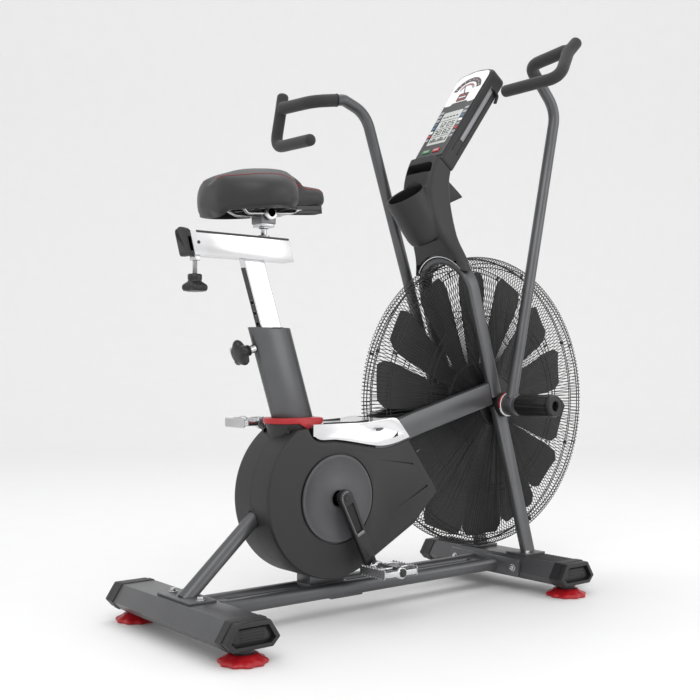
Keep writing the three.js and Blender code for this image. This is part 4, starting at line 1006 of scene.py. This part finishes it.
outline = [(-22, 764), (-20, 760), (20, 760), (22, 764)]
outline += [(polar(22, a)[0], polar(20, a, 0, 797)[1]) for a in range(0, 181, 10)]
cap = raw_object("rail_cap_block", slanted(prism(outline, "x", -12, -0.2)))
soften(cap, 2.4, 3, 40)
finish_piece(cap, "black_plastic", "seat_mast", ("rail_cap",), 45)
trims = []
for edge in (-1, 1):
    trims.append(block(8, 232, min(7.4 * edge, 20.5 * edge), max(7.4 * edge, 20.5 * edge), 806.4, 810.8))
trims.append(block(8, 92, -8, 8, 806.4, 810.8))
trims.append(block(218, 232, -8, 8, 806.4, 810.8))
trim = raw_object("rail_trim", join(*trims))
carve(trim, slanted(block(-80, 0.5, -60, 60, 700, 900)))
finish_piece(trim, "dark_plastic", "seat_mast")
for edge in (-1, 1):
    spot = lathe([(0, 19.9), (3.6, 19.9), (3.6, 20.4), (2.8, 20.7), (0, 20.5)], 28, "y", (14, 787))
    piece(f"rail_hole_{'right' if edge < 0 else 'left'}", on_side(spot, edge), "dark_plastic", "seat_mast")
collar = lathe([(5.6, 762.5), (11, 762.5), (11.8, 761.5), (11.8, 753), (11, 752), (5.6, 752), (5.6, 762.5)],
               6, "z", (17, 0))
piece("rail_nut", collar, "steel", "seat_mast", soft=0.6)
head = lobed([
    (0, 689.6, 0), (16, 690, 0.5), (23, 691.6, 1), (25.6, 695, 1), (26, 699, 1), (24, 703, 1), (19, 707, 0.5),
    (14.6, 710, 0), (13.6, 713, 0), (14.4, 715, 0), (14.4, 723, 0), (12.8, 725, 0), (0, 725, 0),
], 6, 0.1, 120)
piece("rail_knob_head", shifted(head, 17, 0, 0), "dark_plastic", "slider_knob", ("rail_knob",), 50)
thread = [(0, 722)]
for i in range(22):
    z = 724 + 1.9 * i
    thread += [(4.5, z), (5.2, z + 0.95)]
thread += [(4.5, 766.5), (0, 766.5)]
piece("rail_knob_thread", lathe(thread, 32, "z", (17, 0)), "steel", "slider_knob", smooth=60)


# ---- saddle hardware

TILT_AXIS = (182, 860)  # x and z of the saddle's tilt pivot
for edge, name in ((-1, "right"), (1, "left")):
    route = bent([(88, 42, 888), (128, 22, 860), (236, 22, 860), (300, 11, 879)], [16, 22], 10)
    wire = on_side(sweep(route, circle(3.5, 16)), edge)
    piece(f"saddle_wire_{name}", wire, "steel", "saddle_unit", ("saddle_rails",) if edge < 0 else ())
    cheek = lathe([(0, 24.5), (14, 24.5), (15, 25.4), (15, 29), (13.5, 30.4), (9, 31), (0, 31)],
                  32, "y", TILT_AXIS)
    piece(f"saddle_cheek_{name}", on_side(cheek, edge), "steel", "saddle_unit")
barrel = lathe([(0, -31), (8.5, -31), (8.5, 31), (0, 31)], 40, "y", TILT_AXIS)
piece("saddle_barrel", barrel, "steel", "saddle_unit")
clamp = raw_object("clamp_block", block(163, 201, -19, 19, 838, 868))
soften(clamp, 3, 3)
carve(clamp, lathe([(0, -60), (9.4, -60), (9.4, 60), (0, 60)], 48, "y", TILT_AXIS))
finish_piece(clamp, "grey_metal", "seat_slider")
nut = lathe([(0, 838.5), (12, 838.5), (12, 830), (10, 828.5), (0, 828.5)], 6, "z", (TILT_AXIS[0], 0))
piece("clamp_nut", nut, "steel", "seat_slider", soft=0.5)


# ---- saddle cushion

SADDLE_REAR, SADDLE_LENGTH = 44, 304


def half_width(t):
    rear = 122 * math.sqrt(max(0.0, 1 - ((t - 0.33) / 0.345) ** 2))
    nose = (40 - 7 * t) * math.sqrt(max(0.0, 1 - max(0.0, (t - 0.86) / 0.142) ** 2))
    if t < 0.33:
        return rear
    return (rear ** 6 + nose ** 6) ** (1 / 6)


def saddle_shape(shrink):
    """Two full lobes at the back, a waist and a narrow nose."""
    rows, sides, rings = 56, 56, []
    for i in range(rows + 1):
        ring = []
        t = 0.5 - 0.5 * math.cos(math.pi * (0.02 + 0.96 * i / rows))
        x = SADDLE_REAR + shrink + (SADDLE_LENGTH - 2 * shrink) * t
        wide = max(4.0, half_width(t) - shrink)
        swell = math.sqrt(max(0.0, 1 - ((t - 0.36) / 0.42) ** 2)) if t < 0.78 else 0
        top = 917 + 34 * swell ** 0.8 + 3 * t - shrink
        bottom = 848 + shrink + 26 * max(0.0, min(1.0, (t - 0.5) / 0.3)) ** 1.2
        middle = bottom + (top - bottom) * 0.42
        end = min(1.0, math.sin(math.pi * (0.02 + 0.96 * i / rows)) * 2.6)
        for k in range(sides):
            angle = 2 * math.pi * k / sides
            c, s = math.cos(angle), math.sin(angle)
            power = 0.9 if s > 0 else 0.62
            y = wide * math.copysign(abs(c) ** 0.9, c)
            rise = (top - middle) * end if s > 0 else (middle - bottom) * end
            z = middle + rise * math.copysign(abs(s) ** power, s)
            if s > 0:
                z -= 9 * math.exp(-(y / 20) ** 2) * max(0.0, 1 - abs(t - 0.2) / 0.42)
            ring.append((x, y, z))
        rings.append(ring)
    return skin(rings, caps=True)


def inflate(item, pressure):
    """Blows the cover out with a short cloth simulation, no vertex moving further than cap metres."""
    frames, cap = 20, 0.007
    start = [v.co.copy() for v in item.data.vertices]
    cloth = item.modifiers.new("cloth", "CLOTH")
    for key, value in (
        ("quality", 6), ("mass", 0.2), ("tension_stiffness", 14), ("compression_stiffness", 14),
        ("shear_stiffness", 6), ("bending_stiffness", 0.4), ("use_pressure", True),
        ("uniform_pressure_force", pressure),
    ):
        setattr(cloth.settings, key, value)
    cloth.settings.effector_weights.gravity = 0
    cloth.collision_settings.use_collision = False
    cloth.point_cache.frame_start = 1
    cloth.point_cache.frame_end = frames
    scene = bpy.context.scene
    scene.frame_start, scene.frame_end = 1, frames
    for number in range(1, frames + 1):
        scene.frame_set(number)
    apply_modifiers(item)
    for vertex, old in zip(item.data.vertices, start):
        move = vertex.co - old
        if move.length > cap:
            vertex.co = old + move * (cap / move.length)
    scene.frame_set(1)


cushion = raw_object("saddle_cushion", saddle_shape(3))
remesh(cushion, 5, 2)
inflate(cushion, 4)
divide = cushion.modifiers.new("subdivide", "SUBSURF")
divide.levels = divide.render_levels = 1
apply_modifiers(cushion)


def pan_outline(shrink, t0=0.06, t1=0.93):
    upper = []
    for i in range(33):
        t = t0 + (t1 - t0) * (0.5 - 0.5 * math.cos(math.pi * i / 32))
        upper.append((SADDLE_REAR + SADDLE_LENGTH * t, max(6.0, half_width(t) - shrink)))
    return upper + [(x, -y) for x, y in reversed(upper)]


carve(cushion, prism(pan_outline(17), "z", 800, 876))
finish_piece(cushion, "leather", "saddle_unit", ("saddle",), 70)
skirt = raw_object("saddle_pan", prism(pan_outline(16.6), "z", 861, 879))
carve(skirt, prism(pan_outline(19.5, 0.075, 0.915), "z", 800, 875))
finish_piece(skirt, "dark_plastic", "saddle_unit")
ribs = [block(x0, x1, y - 1.5, y + 1.5, 868, 876) for y in (-20, 20) for x0, x1 in ((60, 138), (228, 320))]
ribs += [block(x - 1.5, x + 1.5, -50, 50, 868, 876) for x in (90, 138, 228)]
piece("saddle_pan_ribs", join(*ribs), "dark_plastic", "saddle_unit")
for name, side in SIDES:
    bracket = block(82, 97, 33, 51, 877, 889)
    piece(f"saddle_bracket_{name}", on_side(bracket, side), "steel", "saddle_unit", soft=1.0)
piece("saddle_nose_bracket", block(290, 308, -17, 17, 872, 880), "steel", "saddle_unit", soft=1.0)

cushion_tree = BVHTree.FromObject(cushion, bpy.context.evaluated_depsgraph_get())


def on_cushion(points, lift):
    """Drops guide points (millimetres) onto the cushion's surface."""
    found = []
    for p in points:
        spot, normal, _, _ = cushion_tree.find_nearest(Vector(to_metres(p)))
        found.append(from_metres(spot) + normal * lift)
    return found


def seam(name, guide, side):
    """Line of stitches along a guide curve with a shallow piping under it."""
    guide = [(x, side * y, z) for x, y, z in smooth_line(guide, 14)]
    line = on_cushion(guide, 0.1)
    piece(f"{name}_groove", sweep(line, circle(0.55, 8)), "red_thread", "saddle_unit")
    stitches = []
    for a, b in zip(line[::2], line[1::2]):
        if (b - a).length > 0.5:
            lift = (a + b) / 2 + Vector((0, 0, 0.35))
            stitches.append(sweep([a, lift, b], circle(0.75, 6)))
    piece(f"{name}_stitches", join(*stitches), "red_thread", "saddle_unit")


for name, side in SIDES:
    seam(f"lobe_seam_{name}", [
        (62, 22, 926), (74, 52, 930), (96, 78, 934), (130, 93, 938), (165, 98, 936), (200, 96, 926),
        (228, 82, 908), (240, 70, 890), (244, 64, 872),
    ], side)
    seam(f"nose_seam_{name}", [(246, 40, 922), (270, 33, 925), (300, 28, 924), (322, 24, 918), (334, 20, 905)],
         side)


# ---- mast cover and console

CONSOLE = moved(653, 0, 1040) @ turned(35.5)
BOTTLE = moved(580, 0, 943) @ turned(-35.1)


def mast_loft(sections):
    """Skin over rounded rectangles: (x rear, x front, half width, z, corner radius)."""
    return loft_z([(rounded(x1 - x0, 2 * half, radius, 5, (x0 + x1) / 2, 0), z)
                   for x0, x1, half, z, radius in sections])


keys = [(682, 722, 87, 764), (673, 714, 77, 800), (650, 705, 62, 836), (630, 700, 54, 866), (612, 691, 50, 912),
        (607, 687, 49, 945), (611, 686, 48.5, 985), (626, 698, 49.5, 1025), (648, 722, 50, 1062)]
sections = [(*row, 17) for row in smooth_line(keys, 4)]
mast = raw_object("mast_cover_shell", mast_loft(sections))
bottle = placed(lathe([
    (0, 0), (49, 0), (50, -3), (49.6, -8), (48, -60), (44, -104), (40, -118), (30, -124), (0, -126),
], 64, "z"), BOTTLE)
hook = mast_loft([(686, 712, 14, 934, 5), (684, 764, 17, 957, 6), (684, 765, 17, 968, 6),
                  (680, 716, 16, 1000, 6)])
web = mast_loft([(640, 690, 30, 850, 12), (600, 680, 38, 900, 14), (590, 680, 43, 940, 14)])
carve(mast, bottle, web, hook, mode="UNION")
remesh(mast, 2.6, 9)
bore = placed(lathe([(0, 30), (44.5, 30), (44.5, -2), (43.5, -60), (40, -108), (0, -108)], 64, "z"), BOTTLE)
wide_fork = sweep(legs, rounded(37.4, 20.4, 8, 4), side=ACROSS)
crown_place = moved(*fork_point(0, CROWN - LEG_Y)) @ ACROSS.to_track_quat("-Z", "Y").to_matrix().to_4x4()
crown_room = placed(lathe([(0, -70), (LEG_Y + 16, -70), (LEG_Y + 16, 26), (0, 26)], 96, "z"), crown_place)
tray = placed(prism(rounded(87, 25, 6, 4, 0, -44.5), "x", -30, 20), CONSOLE)
above = placed(block(-200, 300, -200, 200, -13.5, 500), CONSOLE)
cage_arc = lathe([(0, -70), (361, -70), (361, 70), (0, 70)], 160, "y", (CAGE_X, CAGE_Z))
carve(mast, bore, wide_fork, crown_room, cage_arc, tray, above)
finish_piece(mast, "black_plastic", "frame", ("mast_cover",), 50)
liner = lathe([
    (44.2, -1), (43.2, -60), (39.8, -107.5), (0, -107.5), (0, -106.5), (38.8, -106.5), (42.2, -60), (43.2, -1),
    (44.2, -1),
], 64, "z")
piece("bottle_liner", placed(liner, BOTTLE), "dark_plastic", smooth=50)
rim = lathe([(44, -1.5), (46, 0.6), (48.4, 1), (49.4, -0.6), (49, -3), (44, -3), (44, -1.5)], 96, "z")
piece("bottle_rim", placed(rim, BOTTLE), "black_plastic", smooth=60)


def on_console(shape):
    return placed(shape, CONSOLE)


def console_face(low, high, start, end, radius=26):
    """Outline across and up the face; the far end has large round corners."""
    line = [(low, start), (high - 0.2, end - radius)]
    for angle in range(0, 91, 9):
        aside, rise = polar(radius, angle)
        line.append((high - radius + aside, end + 0.75 * (rise - radius)))
    crown, steps = 5, 6
    for i in range(1, steps):
        share = 1 - i / steps
        line.append(((high - radius) * share, end + crown * (1 - share ** 2)))
    return line + [(0, end + crown)] + [(-y, z) for y, z in reversed(line)]


# housing: flat rider's face and round shoulders
item = raw_object("console_shell", on_console(prism(console_face(50, 60, -12.5, 292), "x", 0, 50)))
soften(item, 9, 5, 20, lambda p: True)
finish_piece(item, "black_plastic", "frame", ("console_housing",), 40)
for name, side in SIDES:
    y_low, y_high = 52.4, 58.6
    rail = sweep([(25, side * y_low, 66), (25, side * y_high, 240)], rounded(3.4, 13, 1.6, 3), side=(0, 1, 0))
    piece(f"console_side_strip_{name}", on_console(rail), "grey_metal")
    lips = []
    for depth in (15.6, 34.4):
        ends = [(depth, side * (y_low - 0.6), 30), (depth, side * (y_high + 0.4), 250)]
        lips.append(sweep(ends, circle(1.7, 10)))
    piece(f"console_side_lips_{name}", on_console(join(*lips)), "dark_plastic")
    ends = [(22, side * 58, 236), (31, side * 63, 236), (46, side * 63, 232), (52, side * 60, 214)]
    hook = sweep(bent(ends, [6, 10], 8), rounded(9, 5, 2, 3))
    piece(f"console_side_hook_{name}", on_console(hook), "black_plastic", smooth=50)
back = prism(rounded(76, 150, 14, 6, 0, 150), "x", 49, 54.5)
piece("console_back_plate", on_console(back), "dark_plastic", soft=1.6)
slots = [block(54, 55.6, -26, 26, z, z + 4) for z in range(100, 201, 12)]
piece("console_back_ribs", on_console(join(*slots)), "black_plastic", soft=0.6)
for i, (y, z) in enumerate(((-30, 85), (30, 85), (-30, 215), (30, 215))):
    screw = lathe([(0, 56), (3.4, 56), (4.4, 55), (4.4, 53), (0, 53)], 20, "x", (y, z))
    piece(f"console_screw_{i + 1}", on_console(screw), "steel")


def printed(name, outline, slot, level, thick, replaces=()):
    """Flat print on the console face; level is how far it stands out, in millimetres."""
    return piece(name, on_console(prism(outline, "x", -level - thick, -level)), slot, replaces=replaces)


def bar(y0, y1, z0, z1, radius=1.2):
    return rounded(abs(y1 - y0), abs(z1 - z0), min(radius, abs(z1 - z0) / 2.2, abs(y1 - y0) / 2.2), 3,
                   (y0 + y1) / 2, (z0 + z1) / 2)


face = console_face(46.5, 55.5, 0, 286, 22)
membrane = printed("console_membrane", face, "panel", 0.1, 1.4, ("console_panel",))
carve(membrane, *[on_console(prism(bar(y - 12.5, y + 12.5, 12.5, 25.5, 3.4), "x", -4, 2)) for y in (17, -17)])
# white field on the upper part of the face with a notched lower edge
white = [(51.6, 180), (55.2, 262)]
white += [(polar(20, a, 33)[0], polar(15, a, 0, 268)[1]) for a in range(0, 91, 15)]
white += [(0, 288)]
top_half = white + [(-y, z) for y, z in reversed(white[:-1])]
lower = [(-46, 177), (-30, 177), (-24, 184), (24, 184), (30, 177), (46, 177)]
printed("console_white_field", top_half + lower, "white_print", 1.5, 0.4)


GAUGE_Z = 220


def gauge_band(inner, outer, half_angle):
    """Part of a ring on the console face, half_angle degrees to both sides of straight up."""
    steps = 28
    turns = [90 - half_angle * (2 * i / steps - 1) for i in range(steps + 1)]
    outside = [polar(outer, turn, 0, GAUGE_Z) for turn in turns]
    return outside + [polar(inner, turn, 0, GAUGE_Z) for turn in reversed(turns)]


printed("gauge_outer", gauge_band(33, 47, 80), "panel", 2.0, 0.3)
marks, reds = [], []
for i in range(15):
    y, z = polar(40, 160 - 10 * i, 0, GAUGE_Z)
    dot = prism([(y + a, z + b) for a, b in circle(1.5, 10)], "x", -2.6, -2.3)
    (reds if i % 2 else marks).append(dot)
piece("gauge_marks", on_console(join(*marks)), "white_print")
piece("gauge_red_marks", on_console(join(*reds)), "red_plastic")
printed("gauge_inner", gauge_band(20, 27, 75), "silver_print", 2.0, 0.3)
printed("gauge_red_band", gauge_band(22.4, 25, 55), "red_plastic", 2.35, 0.25)
printed("gauge_window", bar(-17, 17, 187, 214, 4), "panel", 2.0, 0.3)
printed("gauge_window_edge", bar(-14.5, 14.5, 189.5, 193, 1), "red_plastic", 2.35, 0.25)
printed("gauge_window_row", bar(-12, 12, 198, 201.5, 1), "white_print", 2.35, 0.25)
printed("gauge_window_mark", bar(-12, 12, 205, 208.5, 1), "red_plastic", 2.35, 0.25)
needle = [(-1.4, 212), (1.4, 212), (14, 243), (12.6, 243.8)]
printed("gauge_needle", needle, "panel", 2.7, 0.3)

# display with plain segment digits and level bars
printed("display_glass", bar(-33, 32, 42, 152, 2.5), "screen", 1.5, 0.35, ("lcd_screen",))
SEGMENTS = {0: "abcdef", 2: "abged", 3: "abgcd", 5: "afgcd", 8: "abcdefg", 1: "bc"}


def digit(value, y, z):
    """Seven-segment digit; y is its left edge as the rider sees it, t the width of a segment."""
    wide, high, t = 9.5, 16, 2
    left, right, low, mid, top = y, y - wide, z, z + high / 2, z + high
    places = {
        "a": bar(left, right, top - t, top), "g": bar(left, right, mid - t / 2, mid + t / 2),
        "d": bar(left, right, low, low + t), "f": bar(left, left - t, mid, top),
        "b": bar(right + t, right, mid, top),
        "e": bar(left, left - t, low, mid), "c": bar(right + t, right, low, mid),
    }
    return [prism(places[s], "x", -2.3, -1.9) for s in SEGMENTS[value]]


digits = []
for z, row in ((100, (1, 2, 0, 5)), (74, (3, 0, 8, 2))):
    for y, value in zip((27, 14, -2, -16), row):
        digits += digit(value, y, z)
for i in range(9):
    tall = 4 + 10 * abs(math.sin(0.8 * i + 0.6))
    digits.append(prism(bar(27 - 6.4 * i, 23 - 6.4 * i, 50, 50 + tall, 0.8), "x", -2.3, -1.9))
for z in (68, 94, 122):
    digits.append(prism(bar(30, -30, z, z + 1, 0.4), "x", -2.3, -1.9))
for i in range(5):
    digits.append(prism(bar(26 - 11 * i, 19 - 11 * i, 132, 136, 1), "x", -2.3, -1.9))
piece("display_marks", on_console(join(*digits)), "lcd_mark")

# key columns beside the display
for name, side in SIDES:
    small = {"silver_print": [], "blue_print": [], "white_print": [], "red_plastic": []}
    letters = "sssbbwrs" if side > 0 else "ssbwsrss"
    tones = [next(slot for slot in small if slot.startswith(letter)) for letter in letters]
    for i, tone in enumerate(tones):
        z = 158 - 13.2 * i
        near, far = 36.5, 46.5 + (z - 60) * 0.03
        small[tone].append(prism(bar(side * near, side * far, z - 8.4, z, 2), "x", -2.6, -1.4))
    for tone, shapes in small.items():
        if shapes:
            piece(f"small_keys_{name}_{tone}", on_console(join(*shapes)), tone, soft=0.3)

for node, y, slot, body in (
    ("start_key", 17, "green_key", "start_button"), ("stop_key", -17, "red_key", "stop_button"),
):
    key = prism(bar(y - 12, y + 12, 13, 25, 3), "x", -3.2, 1.8)
    piece(f"{node}_cap", on_console(key), slot, body, (node,), soft=0.9)
    face = prism(bar(y - 8, y + 8, 16.4, 21.6, 1.6), "x", -3.5, -3.1)
    piece(f"{node}_mark", on_console(face), "silver_print", body)


# ---- stage, light and camera

LIGHTS = (  # name, place in metres, size in metres, power in watts
    ("key", (-2.2, -2.2, 3.4), 2.4, 44), ("fill", (1.8, -3.0, 1.6), 2.0, 20), ("top", (0.2, 0.6, 3.6), 2.6, 24),
)
LIGHT_TARGET = Vector((0, 0, 0.55))
CAMERA_PLACE, CAMERA_LENS = mm(-1034.0, -1813.7, 535.0), 53.38
CAMERA_PITCH, CAMERA_YAW = math.radians(91.05), math.radians(-38.605)
BACKDROP_YAW = math.radians(90) + CAMERA_YAW


def studio():
    """Pale floor that curves up into a backdrop, soft light and the camera."""
    verts, faces, rows = [], [], []
    reach, bend = 7.0, 3.0
    profile = [(-9.0, 0.0), (reach - bend, 0.0)]
    for i in range(1, 17):
        angle = math.pi / 2 * i / 16
        profile.append((reach - bend + bend * math.sin(angle), bend - bend * math.cos(angle)))
    profile.append((reach, 12.0))
    for along, height in profile:
        row = []
        for across in (-14, 14):
            row.append(len(verts))
            verts.append(Matrix.Rotation(BACKDROP_YAW, 4, "Z") @ Vector((along, across, height)))
        rows.append(row)
    for (a, b), (c, d) in zip(rows, rows[1:]):
        faces.append((a, c, d, b))
    mesh = bpy.data.meshes.new("floor")
    mesh.from_pydata(verts, [], faces)
    mesh.polygons.foreach_set("use_smooth", [True] * len(mesh.polygons))
    floor = bpy.data.objects.new("floor", mesh)
    bpy.context.scene.collection.objects.link(floor)
    pale = node_material("pale_floor", (0.86, 0.86, 0.86), 0.6, drift=0.006)
    mesh.materials.append(pale)

    world = bpy.data.worlds.new("studio")
    world.use_nodes = True
    world.node_tree.nodes["Background"].inputs["Color"].default_value = (1, 1, 1, 1)
    world.node_tree.nodes["Background"].inputs["Strength"].default_value = 0.96
    bpy.context.scene.world = world

    for name, place, size, power in LIGHTS:
        light = bpy.data.lights.new(name, "AREA")
        light.energy = power
        light.size = size
        lamp = bpy.data.objects.new(name, light)
        lamp.location = place
        lamp.rotation_euler = (LIGHT_TARGET - Vector(place)).to_track_quat("-Z", "Y").to_euler()
        bpy.context.scene.collection.objects.link(lamp)

    camera = bpy.data.cameras.new("camera")
    camera.lens = CAMERA_LENS
    camera.sensor_width = 36
    eye = bpy.data.objects.new("camera", camera)
    eye.location = CAMERA_PLACE
    eye.rotation_euler = (CAMERA_PITCH, 0, CAMERA_YAW)
    bpy.context.scene.collection.objects.link(eye)
    bpy.context.scene.camera = eye
    bpy.context.scene.view_settings.view_transform = "Standard"


# the saddle sits slightly nose-up on its tilt pivot
PIVOT, SADDLE_TILT = mm(TILT_AXIS[0], 0, TILT_AXIS[1]), 5
for item in saddle_pieces:
    item.data.transform(moved(*PIVOT) @ turned(-SADDLE_TILT) @ moved(*-PIVOT))
studio()
